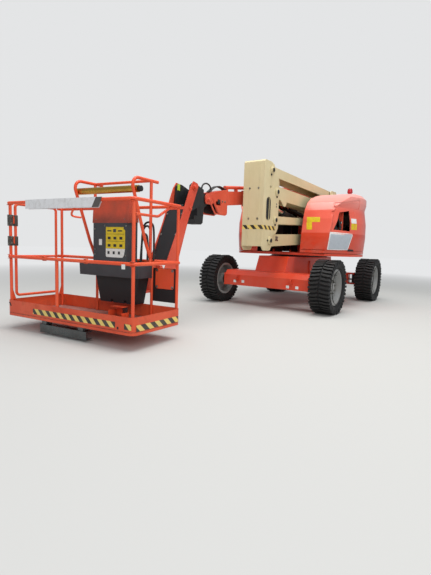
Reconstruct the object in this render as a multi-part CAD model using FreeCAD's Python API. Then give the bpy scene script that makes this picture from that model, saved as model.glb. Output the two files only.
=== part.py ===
import FreeCAD, Part
import math
import os
from FreeCAD import Placement, Rotation, Vector

# Articulating boom lift with a jib: millimetres, +Z up, +X towards the platform, +Y its left side.
# The origin is the slew axis on the ground. The machine stands stowed, as it parks.

# Ground line and wheels
WHEEL_X = 1175
WHEEL_Y = 1013
TYRE_R = 420
TYRE_W = 320
LUG_H = 28
LUGS_PER_SIDE = 21
BEAD_R = 268
BEAD_HALF = 118
FLANGE_H = 12
RIM_HALF = 125
DISC_AT = 15
DISC_T = 14
HUB_R = 105
SPINDLE_R = 45
FIT = 0.3

# Chassis
BEAM_HALF = 770
BEAM_LOW = 335
BEAM_HIGH = 590
BEAM_FRONT = 1380
BEAM_BACK = 990
LUG_Y = 500
LUG_T = 20
LUG_REACH = 38
LUG_EYE_Z = 470
LUG_EYE_R = 17
FRAME_HALF = 280
FRAME_TOP = 855
AXLE_HALF = 600
KINGPIN_Y = 745
KINGPIN_R = 22
YOKE_HALF = 62
KNUCKLE_HALF_H = 85
YOKE_T = 32
TIE_ARM = 200
BEARING_R = 520
BEARING_HOLE_R = 360

# Turntable and hoods
DECK_LOW = 885
DECK_HIGH = 925
DECK_R = 1150
DECK_FRONT = 825
HOOD_LOW = 932
HOOD_T = 14
HOOD_FRONT = 840
HOOD_REAR = -940
GROOVE_AT = 976
HOOD_LEFT_IN = 370
HOOD_RIGHT_IN = -450
HOOD_TOP = 1985
WEIGHT_TOP = 1560
HOOD_POSTS_X = (-560, 180)
HOOD_POST_T = 24
TOWER_PLATE_T = 26

# Tower: pivots of the two arms and two links as (x, z), each 2600 long
ARM = 2600
LOW_FRONT = (1815, 1100)
LOW_LINK_FRONT = (1667, 1416)
UP_FRONT = (1645, 1838)
UP_LINK_FRONT = (1825, 2133)
LOW_SLOPE = -2.5
UP_SLOPE = 1.19
TOWER_LEFT = 300
TOWER_RIGHT = -43
TOWER_GAP = 18
PLATE = 15
PIN_R = 25
LOW_DEPTH = 180
LOW_LINK_DEPTH = 120
UP_DEPTH = 200
UP_LINK_DEPTH = 140
POST_FRONT = 2060
POST_TOP = 2250
POST_BOX_LOW = 1010
LIFT_EYE_S = -150
LIFT_EYE_N = -188

# Main boom, fly section and nose
BOOM_Y = -250
BOOM_PIVOT = (-950, 2083)
BOOM_SLOPE = -7.0
BOOM_LENGTH = 2570
BOOM_DEPTH = 252
BOOM_WIDTH = 212
BOOM_WALL = 8
FLY_DEPTH = 200
FLY_WIDTH = 180
FLY_WALL = 8
FLY_BACK = 300
FLY_FRONT = 3375
NOSE_PIVOT = (2790, 1610)
CARRIER_R = 26
CARRIER_UP = 160

# Jib and its knuckle
JIB = 1240
JIB_SLOPE = -67.0
JIB_PIVOT = (3150, 1720)
JIB_HALF = 150
JIB_PLATE = 15
CHEEK_OUT = 130
CHEEK_T = 25
LINK_SHIFT = (-15, -150)
JIB_CYL_BASE = 250
JIB_CYL_LEAD = 15.0
JIB_CYL_ROD = 950
JIB_CYL_SIDE = -15
JIB_EYE_W = 56

# Platform: own frame with u forward, v left, w up from the floor's underside
DECK_CENTRE = (4465, -443, 151)
DECK_YAW = 5.8
HALF_U = 380
HALF_V = 915
RAIL_R = 17
RAIL_IN = 17
MID_RAIL = 650
TOP_RAIL = 1229
CORNER_R = 70
POST_IN = 20
TOE_H = 170
TOE_WALL = 5
FLOOR_T = 28
SLIT_H = 7
ROTATOR = (3800, -250)
ROTATOR_R = 85
POST_V = (-290, 530)
FRONT_POST_V = -106
GATE_HALF = 285
CHANNEL_W = 80
CHANNEL_H = 85
CHANNEL_DROP = 42
CHANNEL_T = 8
HOOP_R = 17
HOOP_TOP = 1502
HOOP_NOSE_U = 0
HOOP_LEAN = 0.38
HOOP_BEND = 80
HOOP_TAIL = 110
HOOP_LEG_U = -HALF_U + RAIL_IN + RAIL_R + HOOP_R + FIT
GUARD_TUBE_R = 36
GUARD_TUBE_DROP = 112
GRAB_DROP = 130
COVER_V = (-168, 350)


def box(x0, x1, y0, y1, z0, z1):
    return Part.makeBox(x1 - x0, y1 - y0, z1 - z0, Vector(x0, y0, z0))


def rod(a, b, r):
    a = Vector(*a)
    b = Vector(*b)
    return Part.makeCylinder(r, (b - a).Length, a, b - a)


def pin_y(at, y0, y1, r):
    return rod((at[0], y0, at[1]), (at[0], y1, at[1]), r)


def fused(shapes):
    shapes = list(shapes)
    if len(shapes) == 1:
        return shapes[0]
    return shapes[0].multiFuse(shapes[1:]).removeSplitter()


def prism_y(points, y0, y1):
    corners = [Vector(x, y0, z) for x, z in points]
    return Part.Face(Part.makePolygon(corners + corners[:1])).extrude(Vector(0, y1 - y0, 0))


def prism_z(points, z0, z1):
    corners = [Vector(x, y, z0) for x, y in points]
    return Part.Face(Part.makePolygon(corners + corners[:1])).extrude(Vector(0, 0, z1 - z0))


def prism_x(points, x0, x1):
    corners = [Vector(x0, y, z) for y, z in points]
    return Part.Face(Part.makePolygon(corners + corners[:1])).extrude(Vector(x1 - x0, 0, 0))


def ring_z(centre, r_out, r_in, z0, z1):
    base = Vector(centre[0], centre[1], z0)
    outer = Part.makeCylinder(r_out, z1 - z0, base)
    return outer.cut(Part.makeCylinder(r_in, z1 - z0, base))


def revolved(profile, centre, axis):
    # profile holds (distance along the axis, radius) pairs
    side = Vector(0, 0, 1) if abs(axis.z) < 0.5 else Vector(1, 0, 0)
    corners = [centre + axis * along + side * radius for along, radius in profile]
    face = Part.Face(Part.makePolygon(corners + corners[:1]))
    return face.revolve(centre, axis, 360)


def bar(points, r, bend):
    # a round bar through points, with arcs of radius bend at the inner ones
    points = [Vector(*p) for p in points]
    starts = [points[0]]
    pieces = []
    for before, at, after in zip(points, points[1:], points[2:]):
        a = (before - at).normalize()
        b = (after - at).normalize()
        half = a.getAngle(b) / 2
        cut = bend / math.tan(half)
        centre = at + (a + b).normalize() * (bend / math.sin(half))
        p = at + a * cut
        q = at + b * cut
        middle = centre + (at - centre).normalize() * bend
        pieces.append(Part.LineSegment(starts[-1], p).toShape())
        pieces.append(Part.Arc(p, middle, q).toShape())
        starts.append(q)
    pieces.append(Part.LineSegment(starts[-1], points[-1]).toShape())
    ring = Part.Wire(Part.makeCircle(r, points[0], points[1] - points[0]))
    return Part.Wire(pieces).makePipeShell([ring], True, False)


def loop_bar(points, r, bend):
    # a closed loop, started in the middle of its first side
    first = [(a + b) / 2 for a, b in zip(points[0], points[1])]
    open_points = [first] + list(points[1:]) + [points[0]]
    half = bar(open_points, r, bend)
    return half, rod(points[0], first, r)


def turned_xz(shift, angle):
    a = math.radians(angle)
    x, z = shift
    return (x * math.cos(a) - z * math.sin(a), x * math.sin(a) + z * math.cos(a))


def moved_xz(at, shift):
    return (at[0] + shift[0], at[1] + shift[1])


def along(at, slope, s, n=0):
    return moved_xz(at, turned_xz((s, n), slope))


def beam(at, slope, s0, s1, n0, n1, y0, y1):
    # a straight member given by distances s along a line and n square to it
    corners = [along(at, slope, s, n) for s, n in ((s0, n0), (s1, n0), (s1, n1), (s0, n1))]
    return prism_y(corners, y0, y1)


def profile_beam(at, slope, points, y0, y1):
    return prism_y([along(at, slope, s, n) for s, n in points], y0, y1)


def placed(shape):
    turn = Placement(Vector(*DECK_CENTRE), Rotation(Vector(0, 0, 1), DECK_YAW))
    shape = shape.copy()
    shape.Placement = turn.multiply(shape.Placement)
    return shape


def to_deck(x, y):
    a = math.radians(DECK_YAW)
    dx = x - DECK_CENTRE[0]
    dy = y - DECK_CENTRE[1]
    return (math.cos(a) * dx + math.sin(a) * dy, -math.sin(a) * dx + math.cos(a) * dy)


# Rear pivots follow from the front ones and the arm length
LOW_REAR = along(LOW_FRONT, LOW_SLOPE, -ARM)
LOW_LINK_REAR = along(LOW_LINK_FRONT, LOW_SLOPE, -ARM)
UP_REAR = along(UP_FRONT, UP_SLOPE, -ARM)
UP_LINK_REAR = along(UP_LINK_FRONT, UP_SLOPE, -ARM)
JIB_END = along(JIB_PIVOT, JIB_SLOPE, JIB)
LINK_START = moved_xz(JIB_PIVOT, LINK_SHIFT)
LINK_END = moved_xz(JIB_END, LINK_SHIFT)
UPRIGHT_RIGHT = BOOM_Y - BOOM_WIDTH / 2 - 44

# Cylinder pins: the tower's, the boom's and the jib's, base first
LIFT_CLEVIS = (58, 199)
LIFT_LUG_T = 18
LIFT_Y = (LIFT_CLEVIS[0] + LIFT_CLEVIS[1]) / 2
LIFT_BASE = along(LOW_REAR, LOW_SLOPE, 310, LOW_DEPTH / 2 + 55)
LIFT_EYE = along(UP_FRONT, UP_SLOPE, LIFT_EYE_S, LIFT_EYE_N)
LIFT2_BASE = (-815, 1640)
LIFT2_EYE = along(BOOM_PIVOT, BOOM_SLOPE, 1150, -BOOM_DEPTH / 2 - 40)
JIB_BASE = along(JIB_PIVOT, JIB_SLOPE - JIB_CYL_LEAD, JIB_CYL_BASE)
JIB_EYE = along(JIB_PIVOT, JIB_SLOPE, JIB_CYL_ROD)


# Wheels
def tyre(cx, cy):
    centre = Vector(cx, cy, TYRE_R)
    half = TYRE_W / 2
    tread = TYRE_R - LUG_H
    seat = BEAD_HALF - FIT
    lip = BEAD_R + FLANGE_H
    section = [(-seat, BEAD_R + FIT), (-seat, lip), (-half + 8, 310), (-half, 350),
               (-half + 14, tread - 14), (-half + 34, tread), (half - 34, tread),
               (half - 14, tread - 14), (half, 350), (half - 8, 310), (seat, lip),
               (seat, BEAD_R + FIT)]
    body = revolved(section, centre, Vector(0, 1, 0))
    # lug outline as (distance from the mid line, shift round the tyre), run out over the shoulder
    outline = [(8, -13), (88, 1), (half + 2, 4), (half + 2, 40), (92, 33), (8, 15)]
    lugs = []
    for hand in (-1, 1):
        for i in range(LUGS_PER_SIDE):
            turn = (i + (0.5 if hand > 0 else 0)) * 360.0 / LUGS_PER_SIDE
            corners = [Vector(cx + shift, cy + hand * out, TYRE_R + 350) for out, shift in outline]
            lug = Part.Face(Part.makePolygon(corners + corners[:1])).extrude(Vector(0, 0, TYRE_R - 350))
            lug.rotate(centre, Vector(0, 1, 0), turn)
            lugs.append(lug)
    return body.multiFuse(lugs)


def rim(cx, cy, side):
    centre = Vector(cx, cy, TYRE_R)
    lip = BEAD_R + FLANGE_H
    barrel = [(-RIM_HALF, BEAD_R - 22), (-RIM_HALF, lip), (-BEAD_HALF, lip), (-BEAD_HALF, BEAD_R),
              (BEAD_HALF, BEAD_R), (BEAD_HALF, lip), (RIM_HALF, lip),
              (RIM_HALF, BEAD_R - 22), (60, BEAD_R - 40), (-60, BEAD_R - 40)]
    disc = [(DISC_AT, 0), (DISC_AT, BEAD_R - 34), (DISC_AT + DISC_T, BEAD_R - 34),
            (DISC_AT + DISC_T, 150), (DISC_AT + 45, 130), (DISC_AT + 45, 0)]
    boss = [(-120, SPINDLE_R + FIT), (-120, HUB_R), (DISC_AT, HUB_R), (DISC_AT, SPINDLE_R + FIT)]
    parts = [revolved(profile, centre, Vector(0, side, 0)) for profile in (barrel, disc, boss)]
    return fused(parts)


# Chassis
def chassis_frame():
    side = [(1185, BEAM_HIGH), (1060, FRAME_TOP), (-1000, FRAME_TOP), (-1090, 590),
            (-1090, 512), (-960, 430), (BEAM_BACK, 430), (BEAM_BACK, BEAM_HIGH)]
    body = prism_y(side, -FRAME_HALF, FRAME_HALF)
    pockets = []
    for x0, x1 in ((-820, -120), (120, 820)):
        for y0, y1 in ((FRAME_HALF - 18, FRAME_HALF), (-FRAME_HALF, -FRAME_HALF + 18)):
            pockets.append(box(x0, x1, y0, y1, 520, 780))
    body = body.cut(Part.makeCompound(pockets))
    crown = Part.makeCylinder(BEARING_R + 25, 20, Vector(0, 0, FRAME_TOP - 20))
    return fused([body, crown])


def front_beam():
    side = [(BEAM_BACK, BEAM_LOW), (BEAM_FRONT, BEAM_LOW), (BEAM_FRONT, 512), (1318, BEAM_HIGH),
            (BEAM_BACK, BEAM_HIGH)]
    body = prism_y(side, -BEAM_HALF, BEAM_HALF)
    plates = [box(BEAM_BACK - 8, BEAM_FRONT + 8, s * BEAM_HALF - 9, s * BEAM_HALF + 9,
                  BEAM_LOW - 8, 540) for s in (-1, 1)]
    return fused([body] + plates)


def tie_down_lugs():
    # upright plates on the beam's front face, each with a hole for a shackle
    x = BEAM_FRONT
    z = LUG_EYE_Z
    outline = [(x, z - 62), (x + 30, z - 62), (x + 66, z - 30), (x + 66, z + 18), (x + 46, z + 38),
               (x, z + 38)]
    lugs = []
    for y in (-LUG_Y, LUG_Y):
        plate = prism_y(outline, y - LUG_T / 2, y + LUG_T / 2)
        lugs.append(plate.cut(pin_y((x + LUG_REACH, z), y - LUG_T, y + LUG_T, LUG_EYE_R)))
    return Part.makeCompound(lugs)


def front_hubs():
    hubs = []
    for s in (-1, 1):
        motor = rod((WHEEL_X, s * (BEAM_HALF + 9), TYRE_R), (WHEEL_X, s * 880, TYRE_R), 92)
        spindle = rod((WHEEL_X, s * 880, TYRE_R), (WHEEL_X, s * (WHEEL_Y + DISC_AT - 3), TYRE_R), SPINDLE_R)
        hubs.append(fused([motor, spindle]))
    return Part.makeCompound(hubs)


def steer_axle():
    x = -WHEEL_X
    tube = box(x - 95, x + 95, -AXLE_HALF, AXLE_HALF, 345, 500)
    saddle = box(x - 80, x + 85, -150, 150, 500, 505 + 60)
    parts = [tube, saddle]
    for s in (-1, 1):
        low = TYRE_R - KNUCKLE_HALF_H - 0.5 - YOKE_T
        high = TYRE_R + KNUCKLE_HALF_H + 0.5
        y0, y1 = sorted((s * (AXLE_HALF - 30), s * (KINGPIN_Y + YOKE_HALF)))
        parts.append(box(x - YOKE_HALF, x + YOKE_HALF, y0, y1, low, low + YOKE_T))
        parts.append(box(x - YOKE_HALF, x + YOKE_HALF, y0, y1, high, high + YOKE_T))
        web0, web1 = sorted((s * (AXLE_HALF - 30), s * (AXLE_HALF + 30)))
        parts.append(box(x - YOKE_HALF, x + YOKE_HALF, web0, web1, low, high + YOKE_T))
        parts.append(rod((x, s * KINGPIN_Y, low), (x, s * KINGPIN_Y, high + YOKE_T + 8), KINGPIN_R))
    return fused(parts)


def knuckle(s):
    x = -WHEEL_X
    low = TYRE_R - KNUCKLE_HALF_H
    high = TYRE_R + KNUCKLE_HALF_H
    barrel = rod((x, s * KINGPIN_Y, low), (x, s * KINGPIN_Y, high), 55)
    flange = rod((x, s * (KINGPIN_Y + 30), TYRE_R), (x, s * 880, TYRE_R), 80)
    spindle = rod((x, s * 880, TYRE_R), (x, s * (WHEEL_Y + DISC_AT - 3), TYRE_R), SPINDLE_R)
    arm = prism_z([(x, s * (KINGPIN_Y - 30)), (x, s * (KINGPIN_Y + 30)),
                   (x - TIE_ARM, s * (KINGPIN_Y - 20)), (x - TIE_ARM - 30, s * (KINGPIN_Y - 45)),
                   (x - TIE_ARM, s * (KINGPIN_Y - 75))], TYRE_R - 12, TYRE_R + 12)
    body = fused([barrel, flange, spindle, arm])
    return body.cut(rod((x, s * KINGPIN_Y, low), (x, s * KINGPIN_Y, high), KINGPIN_R + FIT))


def tie_rod():
    x = -WHEEL_X - TIE_ARM
    y = KINGPIN_Y - 48
    z = TYRE_R - 12 - FIT
    shaft = rod((x, -y, z - 17), (x, y, z - 17), 16)
    ends = [rod((x, s * y, z - 34), (x, s * y, z), 26) for s in (-1, 1)]
    return fused([shaft] + ends)


# Turntable
def turntable_frame():
    disc = Part.makeCylinder(DECK_R, DECK_HIGH - DECK_LOW, Vector(0, 0, DECK_LOW))
    deck = disc.common(box(-DECK_R, DECK_FRONT, -DECK_R, DECK_R, DECK_LOW, DECK_HIGH))
    side = [(-1040, DECK_HIGH - 5), (-180, DECK_HIGH - 5), (-560, 1290), (-760, 1600), (-850, 1640),
            (-1000, 1630), (-1040, 1560)]
    gap = TOWER_GAP - 3
    y_left = TOWER_LEFT + gap
    y_right = TOWER_RIGHT - gap
    parts = [deck]
    parts.append(prism_y(side, y_left, y_left + TOWER_PLATE_T))
    parts.append(prism_y(side, y_right - TOWER_PLATE_T, y_right))
    parts.append(box(-1040, -1010, y_right, y_left, DECK_HIGH - 5, 1440))
    for at in (LOW_REAR, LOW_LINK_REAR):
        parts.append(pin_y(at, y_right - TOWER_PLATE_T, y_left + TOWER_PLATE_T, PIN_R))
    for x in HOOD_POSTS_X:
        parts.append(box(x, x + 40, HOOD_LEFT_IN - FIT - HOOD_POST_T, HOOD_LEFT_IN - FIT,
                         DECK_HIGH - 5, HOOD_TOP - 40))
        parts.append(box(x, x + 40, HOOD_RIGHT_IN + FIT, HOOD_RIGHT_IN + FIT + HOOD_POST_T,
                         DECK_HIGH - 5, HOOD_TOP - 40))
    return fused(parts)


def counterweight():
    outer = Part.makeCylinder(DECK_R + 8, WEIGHT_TOP - DECK_HIGH, Vector(0, 0, DECK_HIGH))
    band = outer.common(box(-1200, -955, -650, 650, DECK_HIGH, WEIGHT_TOP))
    bay = box(-1045, -900, -450, 350, DECK_HIGH, WEIGHT_TOP)
    body = band.cut(bay)
    crown = [(-1200, WEIGHT_TOP - 90), (-1100, WEIGHT_TOP), (-1100, WEIGHT_TOP + 10), (-1200, WEIGHT_TOP + 10)]
    return body.cut(prism_y(crown, -700, 700))


def bay_blocks():
    return {
        "engine_block": box(-430, 420, -1000, -560, DECK_HIGH, 1480),
        "hydraulic_tank": box(-760, -300, 430, 760, DECK_HIGH, 1440),
        "ground_control_box": fused([box(330, 560, 760, 860, DECK_HIGH, 1500),
                                     box(-180, 560, 430, 860, DECK_HIGH, 1200)]),
    }


def hood_form(inner_y, side, inset, open_by):
    # the common of a turned body, a long section and a straight inner face, each drawn in by inset
    turned = [(HOOD_LOW - open_by, 0), (HOOD_LOW - open_by, 1150 - inset), (1210, 1170 - inset),
              (1450, 1166 - inset), (1690, 1128 - inset), (1790, 1152 - inset), (1880, 1150 - inset),
              (1940, 1090 - inset), (HOOD_TOP - inset, 930), (HOOD_TOP - inset, 0)]
    body = revolved([(a, r) for a, r in turned], Vector(0, 0, 0), Vector(0, 0, 1))
    long_section = [(HOOD_FRONT - inset, HOOD_LOW - open_by), (HOOD_FRONT - 25 - inset, 1210),
                    (762 - inset, 1500), (715 - inset, 1650), (620 - inset, 1780), (470 - inset, 1872),
                    (250 - inset, 1935 - inset), (0, HOOD_TOP - inset), (-600, HOOD_TOP - inset),
                    (HOOD_REAR + 90 + inset, 1930), (HOOD_REAR + inset, 1700),
                    (HOOD_REAR + inset, HOOD_LOW - open_by)]
    y0, y1 = sorted((inner_y - side * open_by, side * 1200))
    return body.common(prism_y(long_section, y0, y1))


def hood(inner_y, side):
    shell = hood_form(inner_y, side, 0, 0).cut(hood_form(inner_y, side, HOOD_T, 40))
    lip = 34
    y0, y1 = sorted((inner_y, inner_y + side * HOOD_T))
    inner_wall = hood_form(inner_y, side, 0, 0).common(box(-1200, 900, y0, y1, 1700, HOOD_TOP))
    keep = hood_form(inner_y, side, lip, 60).common(box(-1200, 900, y0 - 1, y1 + 1, 1600, HOOD_TOP - lip))
    return fused([shell, inner_wall.cut(keep)])


def hood_skin(inner_y, side, depth, region):
    # the outermost depth of the hood's wall inside a region
    skin = hood_form(inner_y, side, 0, 0).cut(hood_form(inner_y, side, depth, 40))
    return skin.common(region)


def hood_left():
    body = hood(HOOD_LEFT_IN, 1)
    window = prism_y([(738, 1322), (440, 1305), (440, 1645), (631, 1607)], 500, 1250)
    vent = prism_y([(690, 1680), (690, 1710), (255, 1810), (255, 1798)], 860, 1250)
    recess = prism_y([(790, 1262), (735, 1600), (640, 1765), (200, 1850), (170, 1700), (330, 1655),
                      (330, 1262)], 842, 1250)
    groove = box(-1200, 1200, HOOD_LEFT_IN + 30, 1250, GROOVE_AT, GROOVE_AT + 12)
    skins = [hood_skin(HOOD_LEFT_IN, 1, 7, recess), hood_skin(HOOD_LEFT_IN, 1, 7, groove)]
    return body.cut(Part.makeCompound([window, vent])).cut(skins[0]).cut(skins[1])


def hood_right():
    body = hood(HOOD_RIGHT_IN, -1)
    slots = [box(-420, 300, -1250, -900, z, z + 22) for z in (1320, 1370, 1420)]
    groove = box(-1200, 1200, -1250, HOOD_RIGHT_IN - 30, GROOVE_AT, GROOVE_AT + 12)
    return body.cut(Part.makeCompound(slots)).cut(hood_skin(HOOD_RIGHT_IN, -1, 7, groove))


def beacon():
    at = (-600, 710)
    base = Part.makeCylinder(52, 25, Vector(at[0], at[1], HOOD_TOP))
    lens = Part.makeCone(44, 36, 75, Vector(at[0], at[1], HOOD_TOP + 25))
    return fused([base, lens])


# Tower arms
def arm_inner():
    return TOWER_RIGHT + PLATE + TOWER_GAP, TOWER_LEFT - PLATE - TOWER_GAP


def lower_tower_boom():
    y0, y1 = arm_inner()
    half = LOW_DEPTH / 2
    shape = [(-120, -half + 35), (-70, -half), (ARM + 30, -half), (ARM + 85, -35),
             (ARM + 85, 35), (ARM + 30, half), (-70, half), (-120, half - 35)]
    body = profile_beam(LOW_REAR, LOW_SLOPE, [(s, n) for s, n in shape], y0, y1)
    bores = [pin_y(at, y0, y1, PIN_R + FIT) for at in (LOW_REAR, LOW_FRONT)]
    lug0, lug1 = LIFT_CLEVIS
    lugs = []
    for y in (lug0, lug1 - LIFT_LUG_T):
        lugs.append(profile_beam(LOW_REAR, LOW_SLOPE, [(220, half - 5), (400, half - 5), (350, half + 90),
                                                       (270, half + 90)], y, y + LIFT_LUG_T))
    return fused([body.cut(Part.makeCompound(bores))] + lugs + [pin_y(LIFT_BASE, lug0, lug1, 20)])


def lower_link():
    y0, y1 = arm_inner()
    half = LOW_LINK_DEPTH / 2
    shape = [(-60, -30), (-30, -half), (ARM + 30, -half), (ARM + 60, -30), (ARM + 60, 30),
             (ARM + 30, half), (-30, half), (-60, 30)]
    strap = 40
    parts = [profile_beam(LOW_LINK_REAR, LOW_SLOPE, shape, y0, y0 + strap),
             profile_beam(LOW_LINK_REAR, LOW_SLOPE, shape, y1 - strap, y1)]
    for s0, s1 in ((-30, 60), (ARM - 60, ARM + 30)):
        parts.append(beam(LOW_LINK_REAR, LOW_SLOPE, s0, s1, -45, 45, y0 + strap - 1, y1 - strap + 1))
    bores = [pin_y(at, y0, y1, PIN_R + FIT) for at in (LOW_LINK_REAR, LOW_LINK_FRONT)]
    return fused(parts).cut(Part.makeCompound(bores))


def upper_tower_boom():
    y0, y1 = arm_inner()
    half = UP_DEPTH / 2
    shape = [(-ARM - 70, -half + 40), (-ARM - 30, -half), (40, -half), (80, -45), (80, 45),
             (40, half), (-ARM - 30, half), (-ARM - 70, half - 40)]
    body = profile_beam(UP_FRONT, UP_SLOPE, shape, y0, y1)
    bores = [pin_y(at, y0, y1, PIN_R + FIT) for at in (UP_FRONT, UP_REAR)]
    # the rod's eye swings up between its lugs, into an open pocket of the box
    pocket = beam(UP_FRONT, UP_SLOPE, LIFT_EYE_S - 130, 90, -half - 1, -half + 58,
                  LIFT_CLEVIS[0] + LIFT_LUG_T, LIFT_CLEVIS[1] - LIFT_LUG_T)
    body = body.cut(Part.makeCompound(bores + [pocket]))
    tip = LIFT_EYE_N - 38
    lug = [(LIFT_EYE_S + 110, -half + 5), (LIFT_EYE_S + 40, tip + 15), (LIFT_EYE_S + 25, tip),
           (LIFT_EYE_S - 25, tip), (LIFT_EYE_S - 40, tip + 15), (LIFT_EYE_S - 170, -half + 5)]
    lug0, lug1 = LIFT_CLEVIS
    parts = [body]
    for y in (lug0, lug1 - LIFT_LUG_T):
        parts.append(profile_beam(UP_FRONT, UP_SLOPE, lug, y, y + LIFT_LUG_T))
    # the rod's eye drifts between the lugs, so its pin shows as a stub on each of them
    parts.append(pin_y(LIFT_EYE, lug0 - 10, lug0 + LIFT_LUG_T, 20))
    parts.append(pin_y(LIFT_EYE, lug1 - LIFT_LUG_T, lug1 + 10, 20))
    return fused(parts)


def upper_link():
    y0, y1 = arm_inner()
    half = UP_LINK_DEPTH / 2
    shape = [(-ARM - 45, -40), (-ARM - 20, -half), (20, -half), (60, -35), (60, 35), (20, half),
             (-ARM - 20, half), (-ARM - 45, 40)]
    body = profile_beam(UP_LINK_FRONT, UP_SLOPE, shape, y0, y1)
    trough = beam(UP_LINK_FRONT, UP_SLOPE, -ARM + 120, -120, -half - 5, half - 12, y0 + 12, y1 - 12)
    bores = [pin_y(at, y0, y1, PIN_R + FIT) for at in (UP_LINK_FRONT, UP_LINK_REAR)]
    return body.cut(Part.makeCompound([trough] + bores))


def mid_upright():
    plate = [(POST_FRONT, POST_BOX_LOW), (POST_FRONT, POST_TOP - 25), (POST_FRONT - 25, POST_TOP),
             (1860, POST_TOP), (1765, 2220), (1715, 2150), (1600, 2050), (1580, 1990), (1560, 1300),
             (1620, 1215), (1730, 1170), (1730, 1040), (1790, 960), (1830, 948), (2000, 948),
             (2040, 985)]
    left = prism_y(plate, TOWER_LEFT - PLATE, TOWER_LEFT)
    right = prism_y(plate, TOWER_RIGHT, TOWER_RIGHT + PLATE)
    slot = fused([box(1862, 1938, -100, 400, 1438, 1690), pin_y((1900, 1438), -100, 400, 38),
                  pin_y((1900, 1690), -100, 400, 38)])
    small = pin_y((1850, 1886), -100, 400, 20)
    front = box(POST_FRONT - 14, POST_FRONT, TOWER_RIGHT, TOWER_LEFT, POST_BOX_LOW, POST_TOP - 25)
    top = box(1860, POST_FRONT - 25, TOWER_RIGHT, TOWER_LEFT, POST_TOP - 14, POST_TOP)
    edge = prism_y([(POST_FRONT - 40, POST_TOP - 14), (POST_FRONT - 25, POST_TOP),
                    (POST_FRONT, POST_TOP - 25), (POST_FRONT - 14, POST_TOP - 40)], TOWER_RIGHT, TOWER_LEFT)
    web = box(1948, 1960, TOWER_RIGHT + 5, TOWER_LEFT - 5, POST_BOX_LOW, POST_TOP - 5)
    plates = fused([left, right, front, top, edge, web]).cut(Part.makeCompound([slot, small]))
    pins = [pin_y(at, TOWER_RIGHT, TOWER_LEFT, PIN_R)
            for at in (LOW_FRONT, LOW_LINK_FRONT, UP_FRONT, UP_LINK_FRONT)]
    return fused([plates] + pins)


def rear_upright():
    plate = [(-1075, 1700), (-1040, 1665), (-880, 1665), (-860, 1580), (-770, 1580), (-735, 1650),
             (-700, 2020), (-700, 2120), (-745, 2165), (-1000, 2170), (-1060, 2120)]
    left = prism_y(plate, TOWER_LEFT - PLATE, TOWER_LEFT)
    mid_out = TOWER_RIGHT - 85
    mid = prism_y(plate, mid_out, mid_out + 20)
    right = prism_y(plate, UPRIGHT_RIGHT, UPRIGHT_RIGHT + 20)
    inner = prism_y(plate, TOWER_RIGHT, TOWER_RIGHT + PLATE)
    back = box(-1075, -1060, UPRIGHT_RIGHT, TOWER_LEFT, 1702, 2000)
    spacer = pin_y(UP_REAR, mid_out, TOWER_RIGHT + PLATE, 60)
    parts = [left, mid, right, inner, back, spacer]
    parts.append(pin_y(UP_REAR, TOWER_RIGHT, TOWER_LEFT, PIN_R))
    parts.append(pin_y(UP_LINK_REAR, TOWER_RIGHT, TOWER_LEFT, PIN_R))
    parts.append(pin_y(BOOM_PIVOT, UPRIGHT_RIGHT, mid_out + 20, 30))
    parts.append(pin_y(LIFT2_BASE, UPRIGHT_RIGHT, mid_out + 20, 22))
    return fused(parts)


def cylinder_pair(base, eye, y, r_barrel, r_rod, r_pin, width, closed):
    # a barrel from its base pin and a rod that ends in an eye, both in the plane y
    dx = eye[0] - base[0]
    dz = eye[1] - base[1]
    length = math.hypot(dx, dz)
    slope = math.degrees(math.atan2(dz, dx))
    y0 = y - width / 2
    y1 = y + width / 2

    def at(s):
        x, z = along(base, slope, s)
        return (x, y, z)

    barrel_end = closed
    bore_r = r_rod + FIT
    body = fused([rod(at(r_pin), at(barrel_end), r_barrel), pin_y(base, y0, y1, r_pin + 16)])
    body = body.cut(Part.makeCompound([pin_y(base, y0, y1, r_pin + FIT),
                                       rod(at(r_pin + 40), at(barrel_end + 1), bore_r)]))
    shaft = fused([rod(at(r_pin + 60), at(length - r_pin), r_rod), pin_y(eye, y0, y1, r_pin + 16)])
    return body, shaft


# Main boom and fly
def boom_box(s0, s1, depth, width, wall):
    outer = beam(BOOM_PIVOT, BOOM_SLOPE, s0, s1, -depth / 2, depth / 2,
                 BOOM_Y - width / 2, BOOM_Y + width / 2)
    inner = beam(BOOM_PIVOT, BOOM_SLOPE, s0 - 1, s1 + 1, -depth / 2 + wall, depth / 2 - wall,
                 BOOM_Y - width / 2 + wall, BOOM_Y + width / 2 - wall)
    return outer.cut(inner)


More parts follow.
